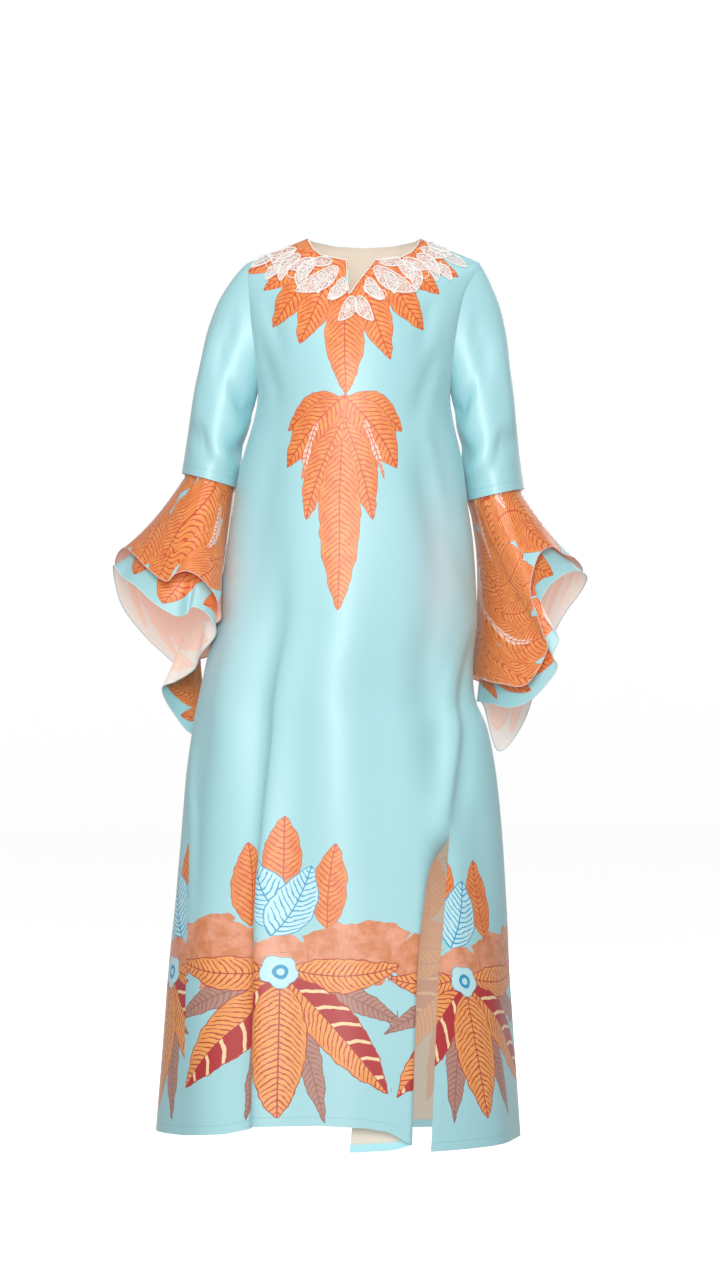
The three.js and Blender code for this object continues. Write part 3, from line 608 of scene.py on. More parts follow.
def placed(row, x, z, size=1.0, mirror=1):
    # a leaf made larger, mirrored and moved
    moved = dict(row, x=x + mirror * size * row["x"], z=z + size * row["z"], tilt=mirror * row["tilt"])
    return dict(moved, bend=mirror * size * row["bend"], length=size * row["length"], width=size * row["width"])


def leafFields(flatX, flatZ, leaves):
    # along = distance down the leaf's own axis, across = distance from it, bent by bend times a
    # parabola; half width = a sine bulge of the share along, negative past both ends
    fields = {}
    for number, layerName in enumerate(printLayers):
        best = np.full(flatX.shape, 1e9)
        out = np.zeros(flatX.shape + (4,))
        out[..., 2] = -50
        for leaf in [row for row in leaves if row["layer"] == number]:
            dx, dz = flatX - leaf["x"], flatZ - leaf["z"]
            angle = math.radians(leaf["tilt"])
            u = dx * math.sin(angle) - dz * math.cos(angle)
            v = dx * math.cos(angle) + dz * math.sin(angle)
            if leaf["kind"] == kinds.index("blossom"):
                half = leaf["width"] / 2 * (0.8 + 0.2 * np.abs(np.cos(2.5 * np.arctan2(v, u))))
                gap = np.hypot(u, v) - half
            else:
                share = u / leaf["length"]
                v = v - leaf["bend"] * 4 * share * (1 - share)
                inside = np.clip(share, 0, 1)
                half = leaf["width"] / 2 * np.sin(np.pi * inside ** 0.8) ** 0.75
                past = np.maximum(-u, u - leaf["length"])
                half = np.where(past > 0, -past, half)
                gap = np.maximum(np.abs(v) - half, past)
            nearer = (gap < best) & (gap < leafReach)
            best = np.where(nearer, gap, best)
            values = np.stack([u, v, half, np.full(flatX.shape, leaf["kind"])], -1)
            out = np.where(nearer[..., None], values, out)
        fields[layerName] = out
    return fields


# layer, kind, x, z, tilt, length, width, bend of each leaf in the neckline's fan
neckFan = [leafRow(*row) for row in (
    (0, "leaf", -168, -2, 78, 190, 66, -10), (0, "leaf", 158, -2, -78, 190, 66, 10),
    (1, "leaf", -72, -6, 12, 116, 74, 4), (1, "leaf", 62, -6, -12, 116, 74, -4),
    (2, "leaf", -122, -14, -58, 78, 38, 4), (3, "leaf", -84, -20, -44, 92, 46, 5),
    (2, "leaf", -64, -38, -31, 124, 54, 4), (3, "leaf", -36, -48, -19, 132, 58, 3),
    (4, "leaf", -8, -78, 1, 174, 66), (3, "leaf", 22, -50, 16, 152, 58, -3),
    (2, "leaf", 56, -40, 31, 128, 54, -4), (4, "leaf", 82, -22, 44, 98, 46, -5),
    (3, "leaf", 112, -12, 54, 90, 38, -4),
)]
# the spray at the middle of the front
frontSpray = [leafRow(*row) for row in (
    (0, "leaf", -7, -250, 0, 190, 124), (1, "leaf", -8, -258, -62, 100, 50, -9),
    (1, "leaf", -6, -258, 62, 104, 52, 9), (2, "leaf", -8, -254, -38, 138, 56, -8),
    (2, "leaf", -6, -254, 38, 140, 58, 8), (3, "leaf", -9, -292, -18, 156, 50, -5),
    (3, "leaf", -4, -292, 18, 156, 50, 5), (4, "leaf", -7, -318, 0, 262, 66),
    (4, "pinkLeaf", -46, -288, -12, 98, 15, -3), (4, "pinkLeaf", 22, -286, 22, 104, 14, 3),
)]
# the border's cluster round one blossom: the leaves that come in pairs, and those that stand alone
clusterPairs = [leafRow(*row) for row in (
    (0, "mottled", 0, -42, 118, 218, 128, 10), (1, "petal", 0, 0, 17, 236, 46, 3),
    (1, "petal", 6, 0, 66, 196, 44, 6), (2, "broadLeaf", 14, 4, 92, 164, 54, -12),
    (3, "stripedLeaf", 8, -10, 42, 232, 72, 5), (3, "leaf", 66, 66, 176, 128, 58, 4),
)]
clusterMiddle = [leafRow(*row) for row in (
    (0, "mottled", 0, 60, 0, 170, 150), (1, "leaf", 0, 122, 180, 112, 52), (2, "blueLeaf", 12, 62, 206, 118, 66, 6),
    (4, "broadLeaf", 0, -16, 0, 205, 82), (4, "blueLeaf", -12, 54, -206, 118, 66, -6), (5, "blossom", 0, 0, 0, 50, 54),
)]
borderCluster = [placed(row, 0, 0, 1, mirror) for row in clusterPairs for mirror in (1, -1)] + clusterMiddle


def clusters(*places):
    # the cluster at each place, given as x, z, size and 1 or -1 for its mirror image
    return [placed(row, *place) for place in places for row in borderCluster]


def flounceLeaves(around, length, seed, band):
    # staggered rows of large leaves counted up from the hem, each turned and moved a little; the
    # lowest tips end at the band, and slim pink leaves, painted highlight bands, lie over every third gap
    rows = []
    spacing, drop, leafLength = 74.0, 64.0, 130.0
    for line in range(int(length / drop) + 2):
        for k in range(-1, int(around / spacing) + 2):
            wobble = math.sin(12.9898 * (k + 3.1 * line + seed)) * 43758.5453
            wobble = wobble - math.floor(wobble) - 0.5
            tilt = 26 * math.sin(1.9 * line + 0.7 * k + seed) + 20 * wobble
            tipX = (k + 0.5 * (line % 2)) * spacing + 12 * wobble
            tipZ = band - length + drop * line + 16 * abs(wobble)
            x = tipX - leafLength * math.sin(math.radians(tilt))
            z = tipZ + leafLength * math.cos(math.radians(tilt))
            layer = 2 * (line % 2) + k % 2
            width, bend = 88 + 12 * wobble, 10 * wobble
            rows.append(leafRow(layer, "leaf", x, z, tilt, leafLength, width, bend))
            if (k + 2 * line + seed) % 3 == 0 and line > 0:
                # painted highlight: a slim pink leaf, a lighter copy of the leaf beside it
                rows.append(leafRow(4, "pinkLeaf", x + 24, z - 16, tilt + 14, 112, 20, 8))
    return rows


# Materials

clothLook = {
    # the greyish pink after the two aquas is painted reflection: the flounces' colour cast on the front beside them
    "aqua": "#9FD3DB", "aquaLight": "#A9DBE1", "paintedReflection": "#D9C9CF", "showThrough": 0.24,
    # the body's reverse colour is darkened by painted shade, for the inside seen in shadow behind the hem and in the
    # slit; the flounces' reverse is the lighter cream pink
    # the two glows are painted light: emission on each reverse side
    "reverse": "#DAC3AE", "bodyGlow": 0.28, "flounceReverse": "#FBE7DD", "flounceGlow": 0.2, "reverseRoughness": 0.75,
    "roughness": 0.48, "ior": 1.6, "coat": 0.4, "coatRoughness": 0.4, "sheen": 0.3, "sheenRoughness": 0.35,
    "weaveSize": 0.9, "stitchStep": 3.2, "stitchLength": 0.72, "stitchShade": "#4FA6B6",
    "rolledEdge": "#F4BDB0", "rolledEdgeLow": "#D6EDF1",
}
leafLook = {
    "veinSpacing": 8.8, "veinWidth": 1.1, "barSpacing": 17.0, "cream": "#F7D9A8", "darkRed": "#B3232A",
    "ring": "#2299C6", "ringRadius": 8.0,
}


def addNode(tree, kind, links=None, **settings):
    # one node with its settings; links gives values, sockets, or nodes whose first output is used
    made = tree.nodes.new(kind)
    for key, value in settings.items():
        setattr(made, key, value)
    for key, value in (links or {}).items():
        if isinstance(value, bpy.types.Node):
            value = value.outputs[0]
        if isinstance(value, bpy.types.NodeSocket):
            tree.links.new(value, made.inputs[key])
        else:
            made.inputs[key].default_value = value
    return made


def makersFor(tree):
    # short makers for one tree: sums, noise, a number eased from one range to another, and a
    # mix of two colours
    def calc(operation, *values):
        return addNode(tree, "ShaderNodeMath", dict(enumerate(values)), operation=operation)

    def noise(at, scale, detail, roughness=0.5):
        values = {"Vector": at, "Scale": scale, "Detail": detail, "Roughness": roughness}
        return addNode(tree, "ShaderNodeTexNoise", values)

    def ease(value, low, high, start=0.0, end=1.0):
        return addNode(tree, "ShaderNodeMapRange", {0: value, 1: low, 2: high, 3: start, 4: end})

    def mix(share, under, over):
        return addNode(tree, "ShaderNodeMix", {0: share, 6: under, 7: over}, data_type="RGBA").outputs[2]

    return calc, noise, ease, mix


def kindRamp(tree, kindShare, colours):
    # constant steps, one colour for each leaf kind
    ramp = addNode(tree, "ShaderNodeValToRGB", {0: kindShare})
    stops = ramp.color_ramp
    stops.interpolation = "CONSTANT"
    while len(stops.elements) < len(colours):
        stops.elements.new(1.0)
    for i, colour in enumerate(colours):
        stops.elements[i].position = i / len(colours)
        stops.elements[i].color = linear(colour)
    return ramp


def makeLeafGroup():
    # draws one layer of printed leaves over a colour: fill, veins, midrib and a wavy dark outline
    tree = bpy.data.node_groups.new("printedLeaves", "ShaderNodeTree")
    sockets = (("Under", "INPUT", "Color"), ("Leaf", "INPUT", "Color"), ("Kind", "INPUT", "Float"))
    for name, way, kind in sockets + (("Colour", "OUTPUT", "Color"),):
        tree.interface.new_socket(name, in_out=way, socket_type="NodeSocket" + kind)
    calc, noise, ease, mix = makersFor(tree)
    source = addNode(tree, "NodeGroupInput")
    leaf = addNode(tree, "ShaderNodeSeparateColor", {0: source.outputs["Leaf"]})
    u, v, half = (leaf.outputs[i] for i in range(3))
    kind = source.outputs["Kind"]

    def isKind(name):
        return calc("COMPARE", kind, float(kinds.index(name)), 0.4)

    where = addNode(tree, "ShaderNodeCombineXYZ", {0: u, 1: v, 2: kind})
    fineWave = calc("MULTIPLY_ADD", noise(where, 0.11, 2.0), 3.2, -5.1)
    wave = calc("MULTIPLY_ADD", noise(where, 0.042, 1.0), 9.0, fineWave)
    side = calc("ABSOLUTE", v)
    leafGap = calc("ADD", calc("SUBTRACT", side, half), wave)
    isBlossom, isMottled = isKind("blossom"), isKind("mottled")
    flat = addNode(tree, "ShaderNodeCombineXYZ", {0: u, 1: v})
    radius = addNode(tree, "ShaderNodeVectorMath", {0: flat}, operation="LENGTH").outputs["Value"]
    discGap = calc("ADD", wave, calc("SUBTRACT", radius, half))
    gap = addNode(tree, "ShaderNodeMix", {0: isBlossom, 2: leafGap, 3: discGap})
    # the mottled mound swells in and out much further than the leaves
    swell = calc("MULTIPLY_ADD", noise(where, 0.022, 2.0), 62.0, -27.0)
    gap = calc("ADD", gap, calc("MULTIPLY", swell, isMottled))
    inside = ease(gap, -0.3, 0.3, 1.0, 0.0)
    # the broad, striped and blue leaves have a bolder outline than the plain ones
    bold = calc("MULTIPLY", calc("GREATER_THAN", kind, 0.5), calc("LESS_THAN", kind, 4.5))
    rim = ease(calc("ADD", calc("MULTIPLY_ADD", bold, 0.9, 0.75), gap), -0.25, 0.25)
    # veins leave the midrib on a slant, curl as they near the edge and repeat down the leaf
    outward = calc("DIVIDE", side, calc("MAXIMUM", half, 1.0))
    slant = calc("MULTIPLY_ADD", side, -0.5, u)
    slant = calc("MULTIPLY_ADD", calc("MULTIPLY", outward, side), -0.42, slant)
    bent = calc("MULTIPLY_ADD", noise(where, 0.05, 3.0), 10.0, slant)
    cell = calc("SUBTRACT", calc("FRACT", calc("DIVIDE", bent, leafLook["veinSpacing"])), 0.5)
    veinGap = calc("MULTIPLY", calc("ABSOLUTE", cell), leafLook["veinSpacing"])
    taper = ease(outward, 0.72, 0.96, leafLook["veinWidth"], -0.3)
    thick = calc("ADD", calc("MULTIPLY_ADD", noise(where, 0.13, 2.0), 2.6, -1.3), taper)
    vein = ease(calc("SUBTRACT", veinGap, thick), -0.25, 0.25, 1.0, 0.0)
    midrib = ease(side, 0.7, 1.2, 1.0, 0.0)
    # the blossom and the mottled mound have no veins
    veined = calc("GREATER_THAN", calc("ABSOLUTE", calc("SUBTRACT", kind, 5.5)), 1.0)
    lines = calc("MULTIPLY", calc("MAXIMUM", vein, midrib), veined)
    kindShare = calc("MULTIPLY_ADD", kind, 1 / len(kinds), 0.5 / len(kinds))
    ramps = [kindRamp(tree, kindShare, colours) for colours in zip(*leafKinds.values())]
    fill, edgeFill, veinColour, rimColour = ramps
    blotch = ease(noise(where, 0.045, 5.0, 0.65), 0.38, 0.62)
    deep = calc("MULTIPLY_ADD", outward, 0.55, calc("MULTIPLY_ADD", blotch, 0.9, -0.35))
    deep = addNode(tree, "ShaderNodeMix", {0: isMottled, 2: calc("MAXIMUM", deep, 0.0), 3: blotch}, clamp_factor=True)
    body = mix(lines, mix(deep, fill, edgeFill), veinColour)
    # the striped leaf has one dark half with pale bars
    dark = calc("MULTIPLY", isKind("stripedLeaf"), calc("GREATER_THAN", v, 0.0))
    bars = ease(calc("SUBTRACT", calc("PINGPONG", bent, leafLook["barSpacing"]), 3.2), -0.4, 0.4)
    body = mix(dark, body, mix(bars, linear(leafLook["cream"]), linear(leafLook["darkRed"])))
    # the blossom has a blue ring round a small pale eye
    ringGap = calc("SUBTRACT", calc("ADD", radius, calc("MULTIPLY", wave, 0.6)), leafLook["ringRadius"])
    ring = calc("MULTIPLY", ease(calc("ABSOLUTE", ringGap), 2.4, 3.0, 1.0, 0.0), isBlossom)
    body = mix(rim, mix(ring, body, linear(leafLook["ring"])), rimColour)
    addNode(tree, "NodeGroupOutput", {0: mix(inside, source.outputs["Under"], body)})
    return tree


leafGroup = makeLeafGroup()


def startMaterial(name):
    # a new material, its tree and shader, and the place in the piece's own coordinates
    material = bpy.data.materials.new(name)
    material.use_nodes = True
    tree = material.node_tree
    return material, tree, tree.nodes["Principled BSDF"], addNode(tree, "ShaderNodeTexCoord").outputs["Object"]


def finishShader(tree, shader, colour, height, strength, distance, values):
    # joins the colour and a bump of the height to the shader, and sets its other values
    bump = addNode(tree, "ShaderNodeBump", {"Height": height, "Strength": strength, "Distance": distance})
    tree.links.new(bump.outputs[0], shader.inputs["Normal"])
    tree.links.new(colour, shader.inputs["Base Color"])
    for key, value in values.items():
        shader.inputs[key].default_value = value


def satinMaterial(name, reverse=None, glow=0.0):
    # duchess satin, woven polyester: a broad soft highlight over a fine diagonal weave; the print is
    # dyed in, so it keeps the sheen, and shows through faintly on the matt reverse
    material, tree, shader, place = startMaterial(name)
    calc, noise, ease, mix = makersFor(tree)
    cloth = addNode(tree, "ShaderNodeAttribute", attribute_name="clothPlace")
    at = addNode(tree, "ShaderNodeSeparateColor", {0: cloth.outputs["Color"]})
    aqua = linear(clothLook["aqua"])
    colour = mix(noise(place, 5.0, 3.0), aqua, linear(clothLook["aquaLight"]))
    # painted reflection: the clothPlace alpha mixes in the flounces' pink cast
    colour = mix(cloth.outputs["Alpha"], colour, linear(clothLook["paintedReflection"]))
    for layer in printLayers:
        leaf = addNode(tree, "ShaderNodeAttribute", attribute_name=layer)
        sockets = {"Under": colour, "Leaf": leaf.outputs["Color"], "Kind": leaf.outputs["Alpha"]}
        group = addNode(tree, "ShaderNodeGroup", node_tree=leafGroup)
        for socket, value in sockets.items():
            tree.links.new(value, group.inputs[socket])
        colour = group.outputs[0]
    edge, hem = at.outputs[2], dress["turnedHem"]
    values = {
        "Roughness": clothLook["roughness"], "IOR": clothLook["ior"], "Coat Weight": clothLook["coat"],
        "Coat Roughness": clothLook["coatRoughness"], "Sheen Weight": clothLook["sheen"],
        "Sheen Roughness": clothLook["sheenRoughness"],
    }
    if reverse:
        colour = mix(clothLook["showThrough"], linear(reverse), colour)
        colour = mix(ease(edge, hem - 0.3, hem + 0.3, 1.0, 0.0), colour, aqua)
        # the emission is a painted glow, standing in for light that comes through the thin cloth from outside
        tree.links.new(colour, shader.inputs["Emission Color"])
        values = {"Roughness": clothLook["reverseRoughness"], "Emission Strength": glow}
    # the weave is about 0.1 mm in the real cloth and is drawn coarser so that it shows up close
    scale = (1 / (clothLook["weaveSize"] * mm),) * 3
    weaveAt = addNode(tree, "ShaderNodeMapping", {0: place, "Rotation": (0.0, math.radians(35), 0.0), "Scale": scale})
    # a line of stitches runs 13 mm above each hem
    line = ease(calc("ABSOLUTE", calc("SUBTRACT", edge, hem + 1.0)), 0.5, 1.0, 1.0, 0.0)
    steps = calc("FRACT", calc("DIVIDE", at.outputs[0], clothLook["stitchStep"]))
    stitch = calc("MULTIPLY", line, calc("LESS_THAN", steps, clothLook["stitchLength"]))
    colour = mix(calc("MULTIPLY", stitch, 0.3), colour, linear(clothLook["stitchShade"]))
    height = calc("MULTIPLY_ADD", noise(weaveAt, 1.0, 2.0), 0.25, calc("MULTIPLY", stitch, -1.6))
    finishShader(tree, shader, colour, height, 0.25, 0.0004, values)
    return material


satin = satinMaterial("printedDuchessSatin")
# painted shade: the body's and sleeves' reverse colour is darker than the flounces'
satinReverse = satinMaterial("satinReverse", clothLook["reverse"], clothLook["bodyGlow"])
# painted glow: both reverses give off light through their emission
flounceReverse = satinMaterial("flounceSatinReverse", clothLook["flounceReverse"], clothLook["flounceGlow"])


def plainMaterial(name, hexColour, roughness, scale=900.0, shade=0.8, strength=0.3, distance=0.0002, sheen=0.0):
    # one colour under a fine grain that darkens it and roughens its surface a little
    material, tree, shader, place = startMaterial(name)
    _, noise, _, mix = makersFor(tree)
    grain = noise(place, scale, 2.0)
    dark = tuple(shade * c for c in linear(hexColour)[:3]) + (1.0,)
    colour = mix(grain, dark, linear(hexColour))
    finishShader(tree, shader, colour, grain, strength, distance, {"Roughness": roughness, "Sheen Weight": sheen})
    return material


# matt wound thread, pink on the upper flounces and pale blue on the lower ones
threadEdges = [
    plainMaterial("pinkOverlockThread", clothLook["rolledEdge"], 0.7),
    plainMaterial("paleOverlockThread", clothLook["rolledEdgeLow"], 0.7),
]
print("materials made")

# Body panels

panelGrid = {
    "frontSteps": 5, "backSteps": 7, "upperSteps": 6, "lowerSteps": 12, "backLowerSteps": 10, "frontMiddle": 15,
}


def panelRows(upperSteps, lowerSteps):
    # row numbers of the part's own grid, with finer steps between them
    first, more = dress["upperRows"], dress["lowerRows"]
    upper = np.linspace(0, first, first * upperSteps, endpoint=False)
    lower = np.linspace(first, first + more, more * lowerSteps + 1)
    return np.concatenate([upper, lower])


def easeUnderarm(points, underarmRow, rounds=140):
    # evens out the depth along each column near the underarm, but not next to the armhole
    count = points.shape[0]
    edge = np.minimum(np.arange(count), count - 1 - np.arange(count))
    inside = smooth((edge - 3) / 14)[:, None]
    near = smooth(1.6 - np.abs(np.arange(points.shape[1]) - underarmRow) / 22)[None, :]
    weight = 0.5 * (inside * near)[:, 1:-1]
    for _ in range(rounds):
        y = points[..., 1]
        points[:, 1:-1, 1] += weight * ((y[:, 2:] + y[:, :-2]) / 2 - y[:, 1:-1])


def creaseHeight(flatX, flatZ, rows, period=None):
    # each row is a line on the flat cloth with a rounded ridge (or trough) fading out at both ends;
    # lean moves the cloth up on one side of the line and down on the other
    height = np.zeros(flatX.shape)
    for x0, z0, x1, z1, width, lift, lean in rows:
        dx, dz = x1 - x0, z1 - z0
        length = math.hypot(dx, dz)
        px, pz = flatX - x0, flatZ - z0
        if period:
            px = (px + period / 2) % period - period / 2
        along = (px * dx + pz * dz) / length
        across = (px * dz - pz * dx) / length / width
        ends = smooth(along / (0.35 * length)) * smooth((length - along) / (0.45 * length))
        height += np.exp(-across * across) * (lift + 1.6 * lean * across) * ends
    return height


def makePanel(name, node, pointAt, columns, steps, lowerSteps, middle, leaves, flat, creases, paintedReflections):
    rowsAt = panelRows(panelGrid["upperSteps"], lowerSteps)
    column, row = np.meshgrid(np.linspace(0, columns, columns * steps + 1), rowsAt, indexing="ij")
    points, plain = pointAt(column, row), pointAt(column, row, False)
    # flat x is the length along each row of the unfolded cloth, counted from the panel's middle
    stepLengths = np.linalg.norm(np.diff(plain[..., :2], axis=0), axis=-1)
    along = np.concatenate([np.zeros((1, len(rowsAt))), np.cumsum(stepLengths, 0)])
    flatX, flatZ = along - along[middle * steps], plain[..., 2]
    hemGap = flatZ - flatZ[:, -1:]
    easeUnderarm(points, dress["upperRows"] * panelGrid["upperSteps"])
    edgeGap = np.minimum(along, along[-1:] - along)
    lift = creaseHeight(flatX, flatZ, creases) * smooth((edgeGap - 2) / 26) * smooth(hemGap / 60)
    points = points + gridNormals(points, False, 1) * lift[..., None]
    fields = leafFields(flatX, flatZ, leaves)
    # painted reflection: a pink cast of the flounces, painted into the colour through the alpha of clothPlace
    paintedReflection = 0 * flatX
    for x, z, wide, high, depth in paintedReflections:
        paintedReflection += depth * np.exp(-((flatX - x) / wide) ** 2 - ((flatZ - z) / high) ** 2)
    fields["clothPlace"] = np.stack([flatX, flatZ, hemGap, paintedReflection], -1)
    hangCloth(name, node, "satin", points, False, 1, hemThickness(hemGap), satinReverse, fields, flat)
    return points


# x0, z0, x1, z1, width, lift, lean in mm on the flat cloth
frontCreases = [
    (96, -300, 172, -590, 26, -6.0, 2.5), (120, -260, 190, -470, 16, 2.0, 2.0),
    (-100, -240, -150, -640, 30, -5.0, -2.5), (-90, -430, -106, -1010, 42, -8.0, 0.0),
    (-150, -84, -104, -210, 15, -2.6, 1.6), (150, -84, 110, -210, 15, -2.6, -1.6),
    (-160, -150, -120, -300, 18, -3.0, 1.8), (158, -160, 104, -320, 18, -3.4, -2.0),
    (6, -400, -2, -1120, 50, 8.0, 0.0), (148, -410, 162, -860, 36, 7.0, -1.5),
    (-176, -520, -190, -900, 26, 3.0, -2.0), (-222, -660, -262, -1180, 30, -5.0, 2.0),
    (-282, -760, -322, -1240, 34, 4.5, 0.0), (188, -640, 236, -800, 20, 3.0, 2.0),
    (-60, -150, 40, -170, 30, -1.6, 0.6), (60, -110, 104, -180, 16, 1.4, 0.8),
]
backCreases = [
    (-96, -120, -40, -330, 26, -3.4, 2.0), (96, -120, 40, -330, 26, -3.4, -2.0),
    (-150, -150, -104, -300, 18, -3.0, 1.6), (150, -150, 104, -300, 18, -3.0, -1.6),
    (-60, -260, -72, -760, 36, 5.0, 0.0), (52, -300, 60, -820, 36, 4.6, 0.0),
    (-4, -380, 0, -1040, 34, -5.0, 1.0), (-150, -420, -190, -980, 34, -5.0, 2.0),
    (150, -420, 186, -1020, 34, -5.0, -2.0), (-236, -560, -290, -1160, 34, 4.0, 0.0),
    (244, -540, 300, -1140, 34, 4.0, 0.0), (-340, -720, -410, -1220, 36, -5.0, 2.0),
    (330, -700, 400, -1200, 36, -5.0, -2.0), (-430, -840, -470, -1250, 30, 3.5, 0.0),
    (-70, -60, 70, -66, 22, -1.6, 0.6), (430, -860, 470, -1260, 30, 3.5, 0.0),
    (-455, -880, -492, -962, 13, 3.2, 2.6), (-470, -860, -500, -905, 10, 2.0, 1.6),
]
# x, z, width, height, depth: painted reflection, the flounces' pink cast painted on the front beside them
frontPaintedReflections = [(-206, -560, 44, 120, 0.5), (158, -520, 42, 110, 0.42)]
frontClusters = clusters((-66, -1122), (-392, -1150, 0.92, -1), (262, -1140, 0.94))
backClusters = clusters((-452, -1140, 0.95), (-150, -1132, 1.0, -1), (160, -1146, 0.95), (470, -1132, 1.0, -1))
frontPoints = makePanel(
    "front_cloth", "front_panel", frontPoint, frontStops[3], panelGrid["frontSteps"], panelGrid["lowerSteps"],
    panelGrid["frontMiddle"], neckFan + frontSpray + frontClusters, (0.66, 1.42), frontCreases, frontPaintedReflections,
)
makePanel(
    "back_cloth", "back_panel", backPoint, dress["backColumns"], panelGrid["backSteps"], panelGrid["backLowerSteps"],
    dress["backColumns"] // 2, backClusters, (1.12, 1.44), backCreases, [],
)
print("front and back made")

# Sleeves and flounces

sleeveGrid = {"around": 126, "rows": 84, "flatAround": 400, "flounceAround": 380, "flounceRows": 100}
flounceBands = (-30, 6)  # how far the lowest leaf tips of the upper and lower flounces lie past the hem


# x0, z0, x1, z1, width, lift, lean: x runs 0 outside, 100 front, 200 inside, 300 back; z from the seam
sleeveCreases = [
    (200, -10, 88, -104, 15, -6.5, 4.0), (206, -46, 112, -176, 17, -7.5, 4.4), (196, -100, 84, -236, 16, 5.5, 3.0),
    (212, -150, 126, -306, 18, -6.5, 3.4), (48, -70, 34, -310, 22, 5.0, 1.0), (92, -200, 14, -292, 15, -4.4, 2.6),
    (204, -10, 306, -106, 15, -6.5, -4.0), (200, -56, 294, -206, 17, -7.0, -4.2), (216, -124, 312, -268, 17, 5.2, -3.0),
    (322, -56, 342, -304, 24, 4.8, 0.0), (8, -26, 2, -190, 20, 2.6, 0.0), (278, -214, 352, -304, 15, -4.6, -2.6),
    (70, -20, 58, -150, 18, -3.0, 1.6),
]


def makeSleeve(side):
    hem, flatAround = sleeveHems[side], sleeveGrid["flatAround"]
    shares = np.arange(sleeveGrid["around"]) / sleeveGrid["around"]
    share, t = np.meshgrid(shares, np.linspace(0, 1, sleeveGrid["rows"] + 1), indexing="ij")
    points = sleevePoint(hem, share * 2 * np.pi, t)
    down, hemGap = measureDown(points)
    flatX = share * flatAround
    lift = creaseHeight(flatX, -down, sleeveCreases, flatAround) * smooth(down / 30) * smooth((hemGap - 6) / 40)
    points = points + gridNormals(points, True, -hem["sign"]) * lift[..., None]
    fields = leafFields(flatX, -down, [])
    fields["clothPlace"] = np.stack([flatX, -down, hemGap, 0 * flatX], -1)
    names = f"sleeve_cloth_{side}", f"sleeve_{side}", "satin"
    hangCloth(*names, points, True, -hem["sign"], hemThickness(hemGap), satinReverse, fields, (0.46, 0.38))


def makeFlounce(side, tierName, tier):
    hem, rows = sleeveHems[side], flounceHems[f"{tierName}_{side}"]
    shares = np.arange(sleeveGrid["flounceAround"]) / sleeveGrid["flounceAround"]
    downs = np.concatenate([np.linspace(-0.2, -0.02, 6), np.linspace(0, 1, sleeveGrid["flounceRows"])])
    share, s = np.meshgrid(shares, downs, indexing="ij")
    points = flouncePoint(hem, rows, tier, share, s)
    down, hemGap = measureDown(points)
    # flat x is the length along the hem, narrowed as each row round the flounce is shorter
    lengths = np.linalg.norm(np.roll(points, -1, 0) - points, axis=-1)
    around = lengths.sum(0)
    cut = np.concatenate([[0], np.cumsum(lengths[:, -1])[:-1]])
    flatX = cut[:, None] * (around / around[-1])[None, :]
    # flat z is counted from the hem, so that the print keeps its distance from it
    flatZ = hemGap - down.max()
    leaves = flounceLeaves(around[-1], down.max(), 1 + tier + hem["sign"], flounceBands[tier])
    fields = leafFields(flatX, flatZ, leaves)
    # the hem distance is raised past the turned hem, because a flounce's edge is only rolled
    fields["clothPlace"] = np.stack([flatX, flatZ, hemGap + 60, 0 * flatX], -1)
    thickness = np.full(hemGap.shape, dress["cloth"])
    names = f"flounce_cloth_{tierName}_{side}", f"flounce_{tierName}_{side}", "printed_satin"
    normals = hangCloth(*names, points, True, -hem["sign"], thickness, flounceReverse, fields)
    edge = tubeAlong(points[:, -1] - normals[:, -1] * dress["cloth"] / 2, 0.9, 8)
    faces = tubeFaces(len(points), 8, True)
    trim = buildMesh(f"rolled_edge_{tierName}_{side}", edge.reshape(-1, 3), faces, [threadEdges[tier]])


for side in ("right", "left"):
    makeSleeve(side)
    makeFlounce(side, "upper", 0)
    makeFlounce(side, "lower", 1)
print("sleeves and flounces made")

# Neck lace: petals outlined in cord and filled with a wandering thread, on fine net

laceLook = {
    "white": "#FCF4F0", "cord": 1.15, "thread": 0.42, "bead": 0.85, "lift": 0.5, "beadStep": 6.5,
    "netDensity": 0.2, "threadDensity": 0.9, "netWall": 0.15, "rimCord": 1.0, "scrollCord": 0.8,
}
# x, z, tilt, length, width, bend; the other side mirrors them about x = -8, or -12 near the notch
lacePetals = [
    (-8, -99, 30, 44, 21, -4), (0, -84, 58, 36, 17, 3), (6, -70, 30, 40, 18, -3), (16, -52, 60, 74, 28, -6),
    (24, -43, 86, 40, 15, 2), (34, -60, 20, 36, 17, 3), (54, -42, 34, 38, 18, 3), (60, -38, 72, 44, 18, -3),
    (74, -50, 10, 38, 18, 3),
    (82, -30, 48, 46, 18, 3), (88, -20, 80, 48, 16, -3), (100, -38, 20, 36, 16, 2), (124, -30, 62, 38, 14, 2),
    (98, -11, 68, 36, 12, 2), (112, -46, 44, 32, 14, 2),
]
# x, z, radius, first and last turn in degrees
laceScrolls = [
    (46, -78, 12, -210, 30), (92, -60, 11, -190, 60), (26, -94, 11, -160, 70), (126, -44, 9, -200, 20),
    (66, -60, 9, -120, 150), (-2, -104, 14, -150, -20),
]


def frontSurface():
    # the upper front's outer points as a tree that rays can meet
    part = frontPoints[:, : dress["upperRows"] * panelGrid["upperSteps"] + 12]
    index = np.arange(part.shape[0] * part.shape[1]).reshape(part.shape[:2])
    return BVHTree.FromPolygons(part.reshape(-1, 3).tolist(), gridQuads(index).tolist())


